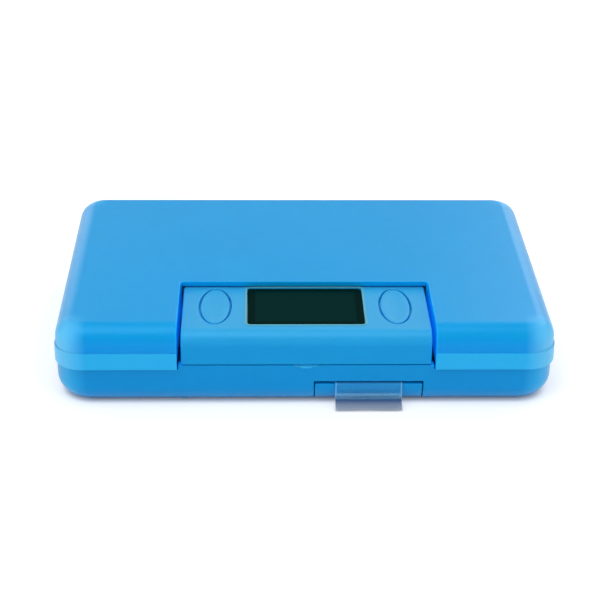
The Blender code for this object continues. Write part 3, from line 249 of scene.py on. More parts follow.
class PillBoxSizes(bpy.types.PropertyGroup):
    """Sizes of the finish that a user may want to change."""

    lid_fillet: size_property("Lid edge radius", "Radius of the edge round the lid's top", 0.0058, 0.003, 0.0075)
    base_fillet: size_property("Base edge radius", "Radius of the edge under the case", 0.0064, 0.003, 0.0070)
    cover_fillet: size_property("Module edge radius", "Bend at the module's front", 0.0042, 0.003, 0.0055)
    edge: size_property("Moulded edge", "Radius of the small moulded edges", 0.00022, 0.00005, 0.0004)
    film_wave: size_property("Film wave", "How far the pull tab's end is out of flat", 0.00025, 0.0, 0.0006)


def colour_property(name, description, colour):
    return FloatVectorProperty(
        name=name, description=description, default=colour, size=3, min=0.0, max=1.0, subtype="COLOR"
    )


class PillBoxColours(bpy.types.PropertyGroup):
    """Base colours of the finishes, as linear values."""

    lid_blue: colour_property("Lid", "Blue plastic of the lid", (0.0, 0.340, 0.745))
    # Painted light: the skirt is painted paler than the lid for the light that comes through the thin band
    skirt_painted_light_blue: colour_property("Lid skirt", "Blue plastic of the thin band along the lid", (0.020, 0.455, 0.880))
    base_blue: colour_property("Base", "Blue plastic of the lower case", (0.0, 0.290, 0.690))
    cover_blue: colour_property("Module", "Blue plastic of the module cover", (0.030, 0.388, 0.745))
    tray_white: colour_property("Tray", "Milky plastic of the pill tray", (0.72, 0.77, 0.80))
    window_dark: colour_property("Display window", "Smoked green window", (0.0010, 0.0175, 0.0160))
    film: colour_property("Pull tab", "Lavender film", (0.37, 0.45, 0.56))
    board_green: colour_property("Board", "Solder mask of the circuit board", (0.010, 0.110, 0.040))


def shade(colour, share):
    """A colour made darker or paler, as a socket takes it."""
    return (*(min(1.0, c * share) for c in colour), 1.0)


class NodeTree:
    """Short ways to place and join the nodes of one material."""

    def __init__(self, name):
        self.material = bpy.data.materials.new(name)
        self.material.use_nodes = True
        self.nodes = self.material.node_tree.nodes
        self.links = self.material.node_tree.links
        self.shader = self.nodes["Principled BSDF"]
        self.place = self.nodes.new("ShaderNodeTexCoord").outputs["Object"]

    def give(self, socket, value):
        """Links an output to the socket, or sets the socket's own value."""
        if isinstance(value, bpy.types.NodeSocket):
            self.links.new(value, socket)
        else:
            socket.default_value = value

    def add(self, kind, settings=None, **inputs):
        node = self.nodes.new(kind)
        for key, value in (settings or {}).items():
            setattr(node, key, value)
        for key, value in inputs.items():
            self.give(node.inputs[key.replace("_", " ")], value)
        return node

    def set(self, **inputs):
        for key, value in inputs.items():
            self.give(self.shader.inputs[key.replace("_", " ")], value)

    def stretched(self, scale):
        return self.add("ShaderNodeMapping", Vector=self.place, Scale=scale).outputs["Vector"]

    def noise(self, scale, detail=3.0, roughness=0.5, vector=None):
        place = vector or self.place
        node = self.add("ShaderNodeTexNoise", Vector=place, Scale=scale, Detail=detail, Roughness=roughness)
        return node.outputs["Fac"]

    def ranged(self, value, low, high, start=0.0, end=1.0):
        """Runs from low to high while the value runs from start to end."""
        node = self.add("ShaderNodeMapRange", Value=value)
        for key, number in (("From Min", start), ("From Max", end), ("To Min", low), ("To Max", high)):
            node.inputs[key].default_value = number
        return node.outputs["Result"]

    def mixed(self, factor, first, second):
        node = self.nodes.new("ShaderNodeMix")
        node.data_type = "RGBA"
        for index, value in ((0, factor), (6, first), (7, second)):
            self.give(node.inputs[index], value)
        return node.outputs[2]

    def bump(self, height, distance, strength=1.0, under=None):
        node = self.add("ShaderNodeBump", Height=height, Distance=distance, Strength=strength)
        if under is not None:
            self.links.new(under, node.inputs["Normal"])
        return node.outputs["Normal"]

    def cloudy(self, colour, spread, scale, detail=3.0):
        """Cloudy variation of one colour."""
        return self.mixed(self.noise(scale, detail), shade(colour, 1 - spread), shade(colour, 1 + spread))

    def paint(self, colour, spread, scale, detail=3.0):
        self.set(Base_Color=self.cloudy(colour, spread, scale, detail))

    def axis(self, name):
        """One object coordinate."""
        return self.add("ShaderNodeSeparateXYZ", Vector=self.place).outputs[name]

    def sum(self, operation, first, second=0.0):
        """A Math node on two values."""
        node = self.nodes.new("ShaderNodeMath")
        node.operation = operation
        for index, value in enumerate((first, second)):
            self.give(node.inputs[index], value)
        return node.outputs[0]

    def times(self, value, *factors):
        for factor in factors:
            value = self.sum("MULTIPLY", value, factor)
        return value

    def band(self, value, low, high, soft):
        """One between two levels and nothing outside them."""
        rise = self.ranged(value, 0.0, 1.0, low - soft, low + soft)
        fall = self.ranged(value, 1.0, 0.0, high - soft, high + soft)
        return self.times(rise, fall)

    def away_from(self, name, middle):
        """Distance from a plane across one axis."""
        return self.sum("ABSOLUTE", self.sum("SUBTRACT", self.axis(name), middle))


def on_skirt(tree):
    """The thin band along the lid, painted paler than the lid as painted light for the light that comes through
    it.
    """
    return tree.band(tree.axis("Z"), SKIRT_LOW - GAP, SKIRT_HIGH, 1.2 * SOFT)


def on_gap_walls(tree):
    """The walls on both sides of the gap beside the module."""
    walls = tree.band(tree.away_from("X", MODULE_X), MODULE_HALF - GAP / 2, NOTCH_HALF + GAP / 2, SOFT)
    return tree.times(walls, tree.ranged(tree.axis("Y"), 1.0, 0.0, BAY_REAR - 10 * SOFT, BAY_REAR))


def on_button_walls(tree):
    """The walls of the gaps round the two buttons, below the cover's top."""
    offset = tree.sum("ABSOLUTE", tree.sum("SUBTRACT", tree.away_from("X", MODULE_X), BUTTON_X))
    low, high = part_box("left_button")
    half = (high.x - low.x) / 2
    across = tree.ranged(offset, 1.0, 0.0, half - 0.00025, half + 0.00015)
    along = tree.band(tree.axis("Y"), low.y - 0.00025, high.y + 0.0002, SOFT)
    below = tree.ranged(tree.axis("Z"), 1.0, 0.0, COVER_TOP - 9 * SOFT, COVER_TOP - 6 * SOFT)
    return tree.times(across, along, below)


def on_module_gaps(tree):
    """The gaps beside the module and round its buttons."""
    return tree.sum("MAXIMUM", on_gap_walls(tree), on_button_walls(tree))


def on_gap_floor(tree):
    """The base's raised edge at the foot of the same gap."""
    floor = tree.band(tree.away_from("X", MODULE_X), MODULE_HALF - GAP / 2, RAISED_HALF + GAP, SOFT)
    return tree.times(floor, tree.ranged(tree.axis("Z"), 0.0, 1.0, SEAM - 2 * SOFT, SEAM - SOFT))


def on_bezel_highlight(tree):
    """The raised edge round the display window, where a pale tone is painted as a highlight."""
    return tree.ranged(tree.axis("Z"), 0.0, 1.0, COVER_TOP + 0.3 * SOFT, COVER_TOP + SOFT)


def on_scoop_highlight(tree):
    """The thin lower edge of the finger scoop under the seam, where a pale crescent is painted as a highlight."""
    across = tree.ranged(tree.away_from("X", MODULE_X), 1.0, 0.0, 0.0036, 0.0040)
    inward = tree.band(tree.axis("Y"), 0.00006 - BASE_HALF_DEPTH, 0.0008 - BASE_HALF_DEPTH, SOFT / 5)
    below = tree.band(tree.axis("Z"), SEAM - 0.0012, SEAM + GAP / 2, SOFT)
    return tree.times(across, inward, below)


def on_painted_wall_shade(tree):
    """The upright walls, below the bend at the top, where a deeper blue than the top is painted as shade."""
    return tree.ranged(tree.axis("Z"), 1.0, 0.0, 0.0195, 0.0235)


def on_corner_highlights(tree):
    """The four outer corners, where a paler tone is painted as a highlight."""
    across = tree.ranged(tree.away_from("X", 0.0), 0.0, 1.0, 0.0655, 0.0715)
    along = tree.ranged(tree.away_from("Y", 0.0), 0.0, 1.0, 0.0405, 0.0475)
    return tree.times(across, along)


def moulded_plastic(name, colour, rough=0.29, spread=0.04, sheen=0.30, painted_glow=None, **places):
    """Blue moulded plastic: cloudy colour, a fine eroded grain and slow waves of the mould.

    Each of the places is a function that finds it on the piece, and the tone painted there: painted light, shade
    and highlights.
    The painted emission finds the deep gaps and makes them give off a faint blue light, painted light that stands
    for what comes through the plastic.
    The roughness stays above 0.274, where the denoiser starts to draw its own lines.
    """
    tree = NodeTree(name)
    body = tree.cloudy(colour, spread, 42.0)
    for find, tone in places.values():
        body = tree.mixed(find(tree), body, tree.cloudy(tone, spread, 42.0))
    tree.set(Base_Color=body)
    # Painted light: the marked gaps give off a faint blue, standing for light through the plastic
    if painted_glow:
        tree.set(Emission_Color=PAINTED_GLOW_BLUE, Emission_Strength=tree.times(painted_glow(tree), PAINTED_GAP_GLOW))
    grain = tree.bump(tree.noise(2600.0, 2.0), 0.00001, 0.5)
    waves = tree.bump(tree.noise(36.0, 1.0), 0.0002, 0.35, grain)
    tree.set(
        Roughness=tree.ranged(tree.noise(300.0, 4.0, 0.6), rough - 0.01, rough + 0.06, 0.3, 0.7),
        Normal=waves,
        Specular_IOR_Level=0.45,
        Specular_Tint=(sheen, 0.6 + sheen / 3, 1.0, 1.0),
        IOR=1.49,
        Subsurface_Weight=0.40,
        Subsurface_Radius=(0.15, 0.55, 1.0),
        Subsurface_Scale=0.0022,
    )
    return tree.material


def milky_plastic(name, colour):
    """Natural polypropylene of the tray."""
    tree = NodeTree(name)
    tree.paint(colour, 0.03, 60.0)
    grain = tree.bump(tree.noise(1800.0, 2.0), 0.000012, 0.6)
    tree.set(
        Roughness=tree.ranged(tree.noise(220.0, 4.0, 0.6), 0.34, 0.50, 0.3, 0.7),
        Normal=tree.bump(tree.noise(50.0, 1.0), 0.0002, 0.25, grain),
        Specular_IOR_Level=0.4,
        Subsurface_Weight=0.25,
        Subsurface_Radius=(1.0, 0.9, 0.8),
        Subsurface_Scale=0.0015,
    )
    return tree.material


def smoked_window(name, colour):
    """Dark window: a painted border, and the paler field of the resting display behind it."""
    tree = NodeTree(name)
    low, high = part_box("display_window")
    middle = (low + high) / 2
    across = tree.away_from("X", middle.x)
    along = tree.away_from("Y", middle.y)
    reach_x = (high.x - low.x) / 2 - 0.0022
    reach_y = (high.y - low.y) / 2 - 0.0024
    field = tree.times(
        tree.ranged(across, 1.0, 0.0, reach_x - 0.0002, reach_x + 0.0002),
        tree.ranged(along, 1.0, 0.0, reach_y - 0.0002, reach_y + 0.0002),
    )
    tree.set(
        Base_Color=tree.mixed(field, shade(colour, 0.75), shade(colour, 1.25)),
        Roughness=tree.ranged(tree.noise(500.0, 3.0), 0.14, 0.24),
        Normal=tree.bump(tree.noise(90.0, 1.0), 0.00004, 0.3),
        Specular_IOR_Level=0.02,
        IOR=1.2,
    )
    return tree.material


def clear_film(name, colour):
    """Clear tinted film: the drawer shows through it, and its flap over the table is lavender grey.

    A painted shadow makes it darkest at the fold, clearing towards the flap's end; painted highlights run along
    both side edges and across the swell above the fold, and painted reflection lines cross the part over the
    drawer.
    """
    tree = NodeTree(name)
    low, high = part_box("pull_tab")
    flap = tree.ranged(tree.axis("Z"), 1.0, 0.0, 0.0022, 0.0028)
    run = tree.ranged(tree.axis("Y"), 1.0, 0.0, low.y, low.y + 0.0036)
    # Painted shadow: the film is dark and opaque at the fold, clearing towards the flap's end
    folded = tuple(colour[i] * share for i, share in enumerate((0.05, 0.17, 0.40))) + (1.0,)
    tinted = tree.mixed(run, folded, tree.cloudy(colour, 0.07, 180.0))
    # Painted reflection: pale lines on the film over the drawer
    painted_reflection_streaks = tree.ranged(tree.noise(170.0, 4.0, 0.6, tree.stretched((0.35, 1.0, 2.6))), 0.0, 1.0, 0.56, 0.68)
    upper = tree.mixed(painted_reflection_streaks, (0.060, 0.420, 0.820, 1.0), (0.30, 0.62, 0.95, 1.0))
    # Painted highlight: a pale band across the swell above the fold
    bulge_painted_highlight = tree.band(tree.axis("Z"), 0.0032, 0.0043, 0.0003)
    upper = tree.mixed(bulge_painted_highlight, upper, (0.16, 0.48, 0.82, 1.0))
    body = tree.mixed(flap, upper, tinted)
    hanging = tree.sum("SUBTRACT", 1.0, flap)
    # Painted highlight: both side edges of the hanging film are painted pale
    rim = tree.times(hanging, tree.ranged(tree.away_from("X", DRAWER_X), 0.0, 0.7, 0.0095, 0.0099))
    body = tree.mixed(rim, body, (0.30, 0.60, 0.92, 1.0))
    lines = tree.bump(tree.noise(900.0, 2.0, vector=tree.stretched((1.0, 0.08, 0.08))), 0.00001, 0.6)
    clearing = tree.ranged(run, 0.95, 0.35)
    over_drawer = tree.sum("MAXIMUM", tree.ranged(painted_reflection_streaks, 0.14, 0.32), tree.times(bulge_painted_highlight, 0.42))
    seen = tree.sum("ADD", tree.times(flap, clearing), tree.times(hanging, over_drawer))
    tree.set(
        Base_Color=body,
        Roughness=tree.ranged(tree.noise(400.0, 3.0), 0.14, 0.26),
        Normal=tree.bump(tree.noise(160.0, 2.0), 0.00015, 0.5, lines),
        Alpha=tree.sum("MAXIMUM", seen, rim),
        Specular_IOR_Level=0.4,
    )
    return tree.material


def brushed_metal(name, colour, rough, stretch=(1.0, 1.0, 1.0)):
    """Plated or rolled metal with a drawn grain and slight stains."""
    tree = NodeTree(name)
    tree.paint(colour, 0.08, 500.0)
    fine = tree.noise(4000.0, 3.0, 0.6, tree.stretched(stretch))
    tree.set(
        Metallic=1.0,
        Roughness=tree.ranged(fine, rough - 0.07, rough + 0.10),
        Normal=tree.bump(fine, 0.000006, 0.5),
    )
    return tree.material


def board_mask(name, colour):
    """Solder mask over copper: traces as raised, paler lines along X and Y."""
    tree = NodeTree(name)
    cells = tree.add(
        "ShaderNodeTexVoronoi",
        {"distance": "CHEBYCHEV", "feature": "F1"},
        Vector=tree.place,
        Scale=420.0,
        Randomness=0.75,
    )
    traces = tree.ranged(cells.outputs["Distance"], 1.0, 0.0, 0.42, 0.47)
    tree.set(
        Base_Color=tree.mixed(traces, shade(colour, 0.7), shade(colour, 1.7)),
        Roughness=tree.ranged(tree.noise(700.0, 3.0), 0.30, 0.46),
        Normal=tree.bump(traces, 0.00003, 0.6),
        Specular_IOR_Level=0.5,
    )
    return tree.material


def plain_detail(name, colour, rough, grain, spread=0.08):
    """Small technical parts: resin, rubber and black plastic with a grain of their own."""
    tree = NodeTree(name)
    tree.paint(colour, spread, 350.0)
    tree.set(
        Roughness=tree.ranged(tree.noise(900.0, 3.0), rough - 0.06, rough + 0.08),
        Normal=tree.bump(tree.noise(grain, 3.0), 0.00002, 0.6),
    )
    return tree.material


def layered_rubber(name):
    """Contact strip: alternating carbon and silicone layers along X."""
    tree = NodeTree(name)
    wave = tree.add(
        "ShaderNodeTexWave",
        {"wave_type": "BANDS", "bands_direction": "X", "wave_profile": "TRI"},
        Vector=tree.place,
        Scale=1400.0,
        Distortion=0.0,
    )
    bands = tree.ranged(wave.outputs["Fac"], 0.0, 1.0, 0.35, 0.65)
    tree.set(
        Base_Color=tree.mixed(bands, (0.02, 0.02, 0.022, 1.0), (0.42, 0.40, 0.44, 1.0)),
        Roughness=tree.ranged(tree.noise(700.0, 3.0), 0.55, 0.75),
        Normal=tree.bump(wave.outputs["Fac"], 0.00001, 0.4),
    )
    return tree.material


def display_glass(name):
    """Resting display glass, with the dark mask line and a faint rubbing direction."""
    tree = NodeTree(name)
    tree.paint((0.20, 0.25, 0.21), 0.04, 90.0)
    lines = tree.noise(2200.0, 2.0, 0.5, tree.stretched((0.05, 1.0, 1.0)))
    tree.set(
        Roughness=tree.ranged(lines, 0.06, 0.16),
        Normal=tree.bump(lines, 0.000004, 0.3),
        Coat_Weight=0.4,
        Coat_Roughness=0.05,
    )
    return tree.material


PAINT = {}


def make_finishes(colours):
    """Every finish, by the record's material slot."""
    PAINT.update(
        # The lid: painted emission and paler painted light in the gap, painted shade on the walls, painted light
        # on the skirt and painted highlights at the corners
        lid_blue=moulded_plastic(
            "lid_blue_plastic",
            colours.lid_blue,
            painted_glow=on_gap_walls,
            walls=(on_painted_wall_shade, WALL_PAINTED_SHADE),
            skirt=(on_skirt, colours.skirt_painted_light_blue),
            corners=(on_corner_highlights, CORNER_PAINTED_HIGHLIGHT),
            gap=(on_gap_walls, GAP_PAINTED_LIGHT_BLUE),
        ),
        # The base: painted emission and paler painted light at the foot of the gap, and painted highlights at the
        # scoop and the corners
        base_blue=moulded_plastic(
            "base_blue_plastic",
            colours.base_blue,
            painted_glow=on_gap_floor,
            scoop=(on_scoop_highlight, SCOOP_PAINTED_HIGHLIGHT),
            corners=(on_corner_highlights, BASE_CORNER_PAINTED_HIGHLIGHT),
            gap=(on_gap_floor, GAP_PAINTED_LIGHT_BLUE),
        ),
        # The cover: painted emission in the gaps, painted shade on the walls, a painted highlight on the bezel and
        # paler painted light in the gap
        cover_blue=moulded_plastic(
            "cover_blue_plastic",
            colours.cover_blue,
            painted_glow=on_module_gaps,
            walls=(on_painted_wall_shade, COVER_WALL_PAINTED_SHADE),
            bezel=(on_bezel_highlight, BEZEL_PAINTED_HIGHLIGHT),
            gap=(on_gap_walls, GAP_PAINTED_LIGHT_BLUE),
        ),
        # The buttons: painted emission on the walls of their gaps
        button_blue=moulded_plastic("button_blue_plastic", colours.cover_blue, 0.34, 0.03, painted_glow=on_button_walls),
        tray_white=milky_plastic("tray_milky_plastic", colours.tray_white),
        window_dark=smoked_window("smoked_window", colours.window_dark),
        glass_grey=display_glass("display_glass"),
        holder_white=plain_detail("holder_plastic", (0.72, 0.72, 0.70), 0.46, 1500.0, 0.03),
        strip_grey=layered_rubber("contact_strip_rubber"),
        board_green=board_mask("board_mask", colours.board_green),
        chip_black=plain_detail("chip_resin", (0.008, 0.008, 0.009), 0.28, 700.0),
        switch_black=plain_detail("switch_plastic", (0.014, 0.014, 0.015), 0.44, 1800.0),
        steel=brushed_metal("zinc_plated_steel", (0.56, 0.57, 0.60), 0.30),
        nickel=brushed_metal("satin_nickel", (0.66, 0.64, 0.60), 0.26, (1.0, 0.15, 1.0)),
        film=clear_film("pull_tab_film", colours.film),
    )


def only(items, kind):
    return [item for item in items if isinstance(item, kind)]


def slab(low, high):
    """A bmesh box between two corners."""
    bm = bmesh.new()
    bmesh.ops.create_cube(bm, size=1.0)
    low, high = Vector(low), Vector(high)
    bmesh.ops.scale(bm, vec=high - low, verts=bm.verts)
    bmesh.ops.translate(bm, vec=(low + high) / 2, verts=bm.verts)
    return bm


def beside(x, side, inner, outer):
    """The ends of a span to one side of x, the lower end first."""
    return sorted((x + side * inner, x + side * outer))


def slab_about(x, half, front, rear, low, high):
    """A box that reaches as far to the left of x as to the right."""
    return slab((x - half, front, low), (x + half, rear, high))


def edges_where(bm, test):
    return [e for e in bm.edges if all(test(v.co) for v in e.verts)]


def upright_edges(bm):
    return [e for e in bm.edges if abs((e.verts[0].co - e.verts[1].co).normalized().z) > 0.99]


def round_edges(bm, edges, radius, segments):
    bmesh.ops.bevel(
        bm, geom=edges, offset=radius, offset_type="OFFSET", affect="EDGES", segments=segments, profile=0.5,
        material=-1, clamp_overlap=False,
    )


def level(bm, z):
    return edges_where(bm, lambda co: abs(co.z - z) < TOUCH)


def rounded_slab(low, high, corner, top=0.0, under=0.0, corner_steps=14, steps=10):
    """A box with upright rounded corners, and with its top and lower edges rounded on request."""
    bm = slab(low, high)
    if corner:
        round_edges(bm, upright_edges(bm), corner, corner_steps)
    if top:
        round_edges(bm, level(bm, high[2]), top, steps)
    if under:
        round_edges(bm, level(bm, low[2]), under, steps)
    return bm


def centred(half_x, half_y, low, high, corner, **edges):
    return rounded_slab((-half_x, -half_y, low), (half_x, half_y, high), corner, **edges)


def rod(x, y, radius, low, high, steps=40, depth_scale=1.0):
    """A cylinder along Z, oval on request."""
    bm = bmesh.new()
    bmesh.ops.create_cone(bm, cap_ends=True, segments=steps, radius1=radius, radius2=radius, depth=high - low)
    bmesh.ops.scale(bm, vec=(1.0, depth_scale, 1.0), verts=bm.verts)
    bmesh.ops.translate(bm, vec=(x, y, (low + high) / 2), verts=bm.verts)
    return bm


def rod_across(left, right, y, z, radius, steps=40):
    """A cylinder along X."""
    bm = rod(0, 0, radius, left, right, steps)
    turn = Matrix.Rotation(math.pi / 2, 3, "Y")
    bmesh.ops.rotate(bm, verts=bm.verts, cent=(0, 0, 0), matrix=turn)
    bmesh.ops.translate(bm, vec=(0, y, z), verts=bm.verts)
    return bm


def barrel(middle, half, radius, steps=40):
    """A cylinder on the hinge's axis."""
    return rod_across(middle - half, middle + half, HINGE_Y, HINGE_Z, radius, steps)


def knuckle_web(wall, root, low, high, left, right):
    """The web from the rear wall to a knuckle: root is how low it starts on the wall, low where it ends."""
    points = ((wall - SINK, root), (HINGE_Y, low), (HINGE_Y, high), (wall - SINK, high))
    left, right = left + TOUCH, right - TOUCH
    bm = bmesh.new()
    face = bm.faces.new([bm.verts.new((left, y, z)) for y, z in points])
    grown = bmesh.ops.extrude_face_region(bm, geom=[face])["geom"]
    bmesh.ops.translate(bm, vec=(right - left, 0, 0), verts=only(grown, bmesh.types.BMVert))
    return bm


def as_object(name, bm):
    bmesh.ops.recalc_face_normals(bm, faces=bm.faces)
    mesh = bpy.data.meshes.new(name)
    bm.to_mesh(mesh)
    bm.free()
    obj = bpy.data.objects.new(name, mesh)
    bpy.context.scene.collection.objects.link(obj)
    return obj


def as_form(obj):
    """Turns a half-made piece back into a form that can be joined or cut."""
    bm = bmesh.new()
    bm.from_mesh(obj.data)
    bpy.data.objects.remove(obj, do_unlink=True)
    return bm


def keep_modifiers(obj):
    """Makes what the modifiers do the piece's own mesh."""
    bpy.context.view_layer.update()
    graph = bpy.context.evaluated_depsgraph_get()
    mesh = bpy.data.meshes.new_from_object(obj.evaluated_get(graph))
    if not mesh.polygons:
        raise RuntimeError(f"{obj.name}: nothing is left of it")
    obj.modifiers.clear()
    obj.data = mesh


def combine(target, form, operation):
    """Joins a form to the target or takes it away, and keeps the result as the target's mesh."""
    tool = as_object("tool", form)
    modifier = target.modifiers.new("combine", "BOOLEAN")
    modifier.operation = operation
    modifier.solver = "EXACT"
    modifier.object = tool
    keep_modifiers(target)
    bpy.data.objects.remove(tool, do_unlink=True)


def cut(target, *forms):
    for form in forms:
        combine(target, form, "DIFFERENCE")


def join(target, *forms):
    for form in forms:
        combine(target, form, "UNION")


def keep_within(target, form):
    combine(target, form, "INTERSECT")


def add_rounding(obj, width):
    """A live bevel on the sharp edges."""
    rounding = obj.modifiers.new("edge", "BEVEL")
    rounding.width = width
    rounding.segments = 3
    rounding.limit_method = "ANGLE"
    rounding.angle_limit = SHARP
    rounding.use_clamp_overlap = False


def soften(obj, width):
    """Rounds the sharp edges of a half-made piece, before finer parts are added to it."""
    add_rounding(obj, width)
    keep_modifiers(obj)


def finish_piece(obj, name, paint, body, nodes, edge=0.0):
    """Names the piece, rounds its sharp edges, paints it and hangs it on its body in place of CAD nodes."""
    obj.name = name
    bm = bmesh.new()
    bm.from_mesh(obj.data)
    bmesh.ops.remove_doubles(bm, verts=bm.verts, dist=2 * TOUCH)
    bmesh.ops.dissolve_degenerate(bm, dist=2 * TOUCH, edges=bm.edges)
    bm.to_mesh(obj.data)
    bm.free()
    obj.data.name = name
    obj.data.materials.clear()
    obj.data.materials.append(PAINT[paint])
    obj.data.shade_smooth()
    if edge:
        add_rounding(obj, edge)
    else:
        obj.data.set_sharp_from_angle(angle=SHARP)
    normals = obj.modifiers.new("normals", "WEIGHTED_NORMAL")
    normals.keep_sharp = True
    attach(obj, body)
    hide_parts(*nodes)
    return obj


def screw_places():
    return [(MODULE_X + side * SCREW_X, y) for y in (SCREW_FRONT, SCREW_REAR) for side in (-1, 1)]


def inside_lid(inset, low, fillet):
    """The lid's outer form, drawn in by the same on every side."""
    return centred(
        HALF_WIDTH - inset, HALF_DEPTH - inset, low, HEIGHT - inset, LID_CORNER - inset, top=fillet - inset
    )


def make_lid(sizes):
    """The lid: domed shell, skirt band, notch round the module with its side walls, and hinge knuckles."""
    fillet = sizes.lid_fillet
    lid = as_object("lid_shell", inside_lid(0.0, SKIRT_LOW + GAP, fillet))
    width, depth = HALF_WIDTH + SKIRT_PROUD, HALF_DEPTH + SKIRT_PROUD
    join(lid, centred(width, depth, SKIRT_LOW, SKIRT_HIGH, LID_CORNER + SKIRT_PROUD))
    cut(lid, inside_lid(LID_WALL, SKIRT_LOW - OVER, fillet))
    for side in (-1, 1):
        xs = beside(MODULE_X, side, NOTCH_HALF - SINK, FLANGE_HALF)
        low, high = (xs[0], -HALF_DEPTH - OVER, SEAM + 2 * GAP), (xs[1], MODULE_REAR - NOTCH_GAP, HEIGHT + OVER)
        wall = as_object("wall", slab(low, high))
        keep_within(wall, inside_lid(SINK, SKIRT_LOW, fillet))
        join(lid, as_form(wall))
    low, high = (MODULE_X - NOTCH_HALF, -2 * HALF_DEPTH, 0), (MODULE_X + NOTCH_HALF, BAY_REAR, HEIGHT + OVER)
    cut(lid, rounded_slab(low, high, NOTCH_CORNER, corner_steps=6))
    knuckle = BASE_KNUCKLE_HALF + KNUCKLE_GAP
    for middle in (-HINGE_SPREAD, HINGE_SPREAD):
        cut(lid, barrel(middle, BASE_KNUCKLE_HALF + GAP, BARREL + GAP))
        for side in (-1, 1):
            xs = beside(middle, side, knuckle, knuckle + LID_KNUCKLE)
            join(lid, rod_across(xs[0], xs[1], HINGE_Y, HINGE_Z, BARREL))
            low = SKIRT_LOW + KNUCKLE_GAP
            join(lid, knuckle_web(HALF_DEPTH, low, low, HINGE_Z + BARREL - GAP, *xs))
        cut(lid, barrel(middle, knuckle + LID_KNUCKLE + OVER, PIN_HOLE, 24))
    return finish_piece(lid, "lid_finished", "lid_blue", "lid", ["lid"], sizes.edge)


def base_limit(sizes, high):
    return centred(BASE_HALF_WIDTH, BASE_HALF_DEPTH, 0.0, high, BASE_CORNER, under=sizes.base_fillet)


def make_base(sizes):
    """The lower case: rounded tub, rim inside the lid, walls round the module, drawer slot and knuckles."""
    base = as_object("base_body", base_limit(sizes, SEAM))
    shoulder = as_object("shoulder", centred(RING_HALF_WIDTH, RING_HALF_DEPTH, SHOULDER, SEAM + OVER, 0.0))
    cut(
        shoulder,
        centred(RIM_HALF_WIDTH, RIM_HALF_DEPTH, SHOULDER - OVER, SEAM + 2 * OVER, RIM_CORNER),
        slab_about(MODULE_X, RAISED_HALF, -CLEAR_OUT, BAY_REAR, SHOULDER - OVER, SEAM + 2 * OVER),
    )
    cut(base, as_form(shoulder))
    join(base, centred(RIM_HALF_WIDTH, RIM_HALF_DEPTH, SHOULDER - OVER, RIM_HIGH, RIM_CORNER))
    inside = dict(under=FLOOR_ROUND, steps=6)
    cut(
        base,
        centred(INSIDE_HALF_WIDTH, INSIDE_HALF_DEPTH, FLOOR, RIM_HIGH + OVER, INSIDE_CORNER, **inside),
        slab_about(MODULE_X, TRAY_NOTCH_HALF, -CLEAR_OUT, MODULE_REAR, SEAM, RIM_HIGH + OVER),
    )
    for side in (-1, 1):
        xs = beside(MODULE_X, side, RAISED_HALF, TRAY_NOTCH_HALF)
        cut(base, slab((xs[0], -CLEAR_OUT, SHOULDER), (xs[1], MODULE_REAR, SEAM + OVER)))
    front = -INSIDE_HALF_DEPTH
    bay = as_object("bay", slab_about(MODULE_X, MODULE_HALF, front - SINK, MODULE_REAR, FLOOR - SINK, SEAM))
    cut(bay, slab_about(MODULE_X, BAY_HALF, front - OVER, BAY_REAR, FLOOR - OVER, SEAM + OVER))
    join(base, as_form(bay))
    for x, y in screw_places():
        join(base, rod(x, y, BASE_BOSS, FLOOR - SINK, BASE_BOSS_TOP))
        cut(base, rod(x, y, SCREW_HOLE, -OVER, BASE_BOSS_TOP + OVER))
        cut(base, rod(x, y, SCREW_HEAD_HOLE, -OVER, SCREW_HEAD_DEPTH))
    add_rails(base)
    cut_drawer_slot(base)
    cut_sound_holes(base)
    cut_scoop(base)
    for middle in (-HINGE_SPREAD, HINGE_SPREAD):
        join(base, barrel(middle, BASE_KNUCKLE_HALF, BARREL))
        low, half = HINGE_Z - BARREL + GAP, BASE_KNUCKLE_HALF
        join(base, knuckle_web(BASE_HALF_DEPTH, low - WEB_DROP, low, SHOULDER - GAP, middle - half, middle + half))
        cut(base, barrel(middle, BASE_PIN_HOLE_HALF, PIN_HOLE, 24))
    return finish_piece(base, "base_finished", "base_blue", "case", ["base_shell"], sizes.edge)


def add_rails(base):
    """An angle rail on each side of the drawer."""
    hook = FLOOR + 2 * GAP + LIP_THICKNESS
    wall = DRAWER_LIP_HALF + GAP
    for side in (-1, 1):
        for inner, outer, low in (
            (wall, wall + RAIL_WALL, FLOOR - SINK),
            (DRAWER_HALF + GAP, wall + RAIL_HOOK, hook),
        ):
            xs = beside(DRAWER_X, side, inner, outer)
            join(base, slab((xs[0], RAIL_FRONT, low), (xs[1], RAIL_REAR, hook + RAIL_HOOK_THICKNESS)))


def cut_drawer_slot(base):
    """The opening in the front wall and the floor that the drawer closes."""
    rear, front = DRAWER_REAR + GAP, -BASE_HALF_DEPTH
    cut(
        base,
        slab_about(DRAWER_X, DRAWER_PANEL_HALF + GAP, -CLEAR_OUT, WRAP_REAR + GAP, -OVER, SLOT_TOP),
        slab_about(DRAWER_X, DRAWER_LIP_HALF + GAP, front, LIP_SLOT_REAR, FLOOR + GAP / 2, SLOT_TOP - TOUCH),
        slab_about(DRAWER_X, DRAWER_HALF + GAP, front, rear, -OVER, SLOT_TOP - 2 * TOUCH),
    )


def cut_sound_holes(base):
    """One hole under the middle of the sounder, and a ring of holes round it."""
    low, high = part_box("buzzer")
    x, y = (low.x + high.x) / 2, (low.y + high.y) / 2
    cut(base, rod(x, y, SOUND_HOLE, -OVER, FLOOR + OVER, 24))
    for i in range(SOUND_HOLES):
        angle = 2 * math.pi * i / SOUND_HOLES
        place = x + SOUND_RING * math.cos(angle), y + SOUND_RING * math.sin(angle)
        cut(base, rod(*place, SOUND_HOLE, -OVER, FLOOR + OVER, 24))


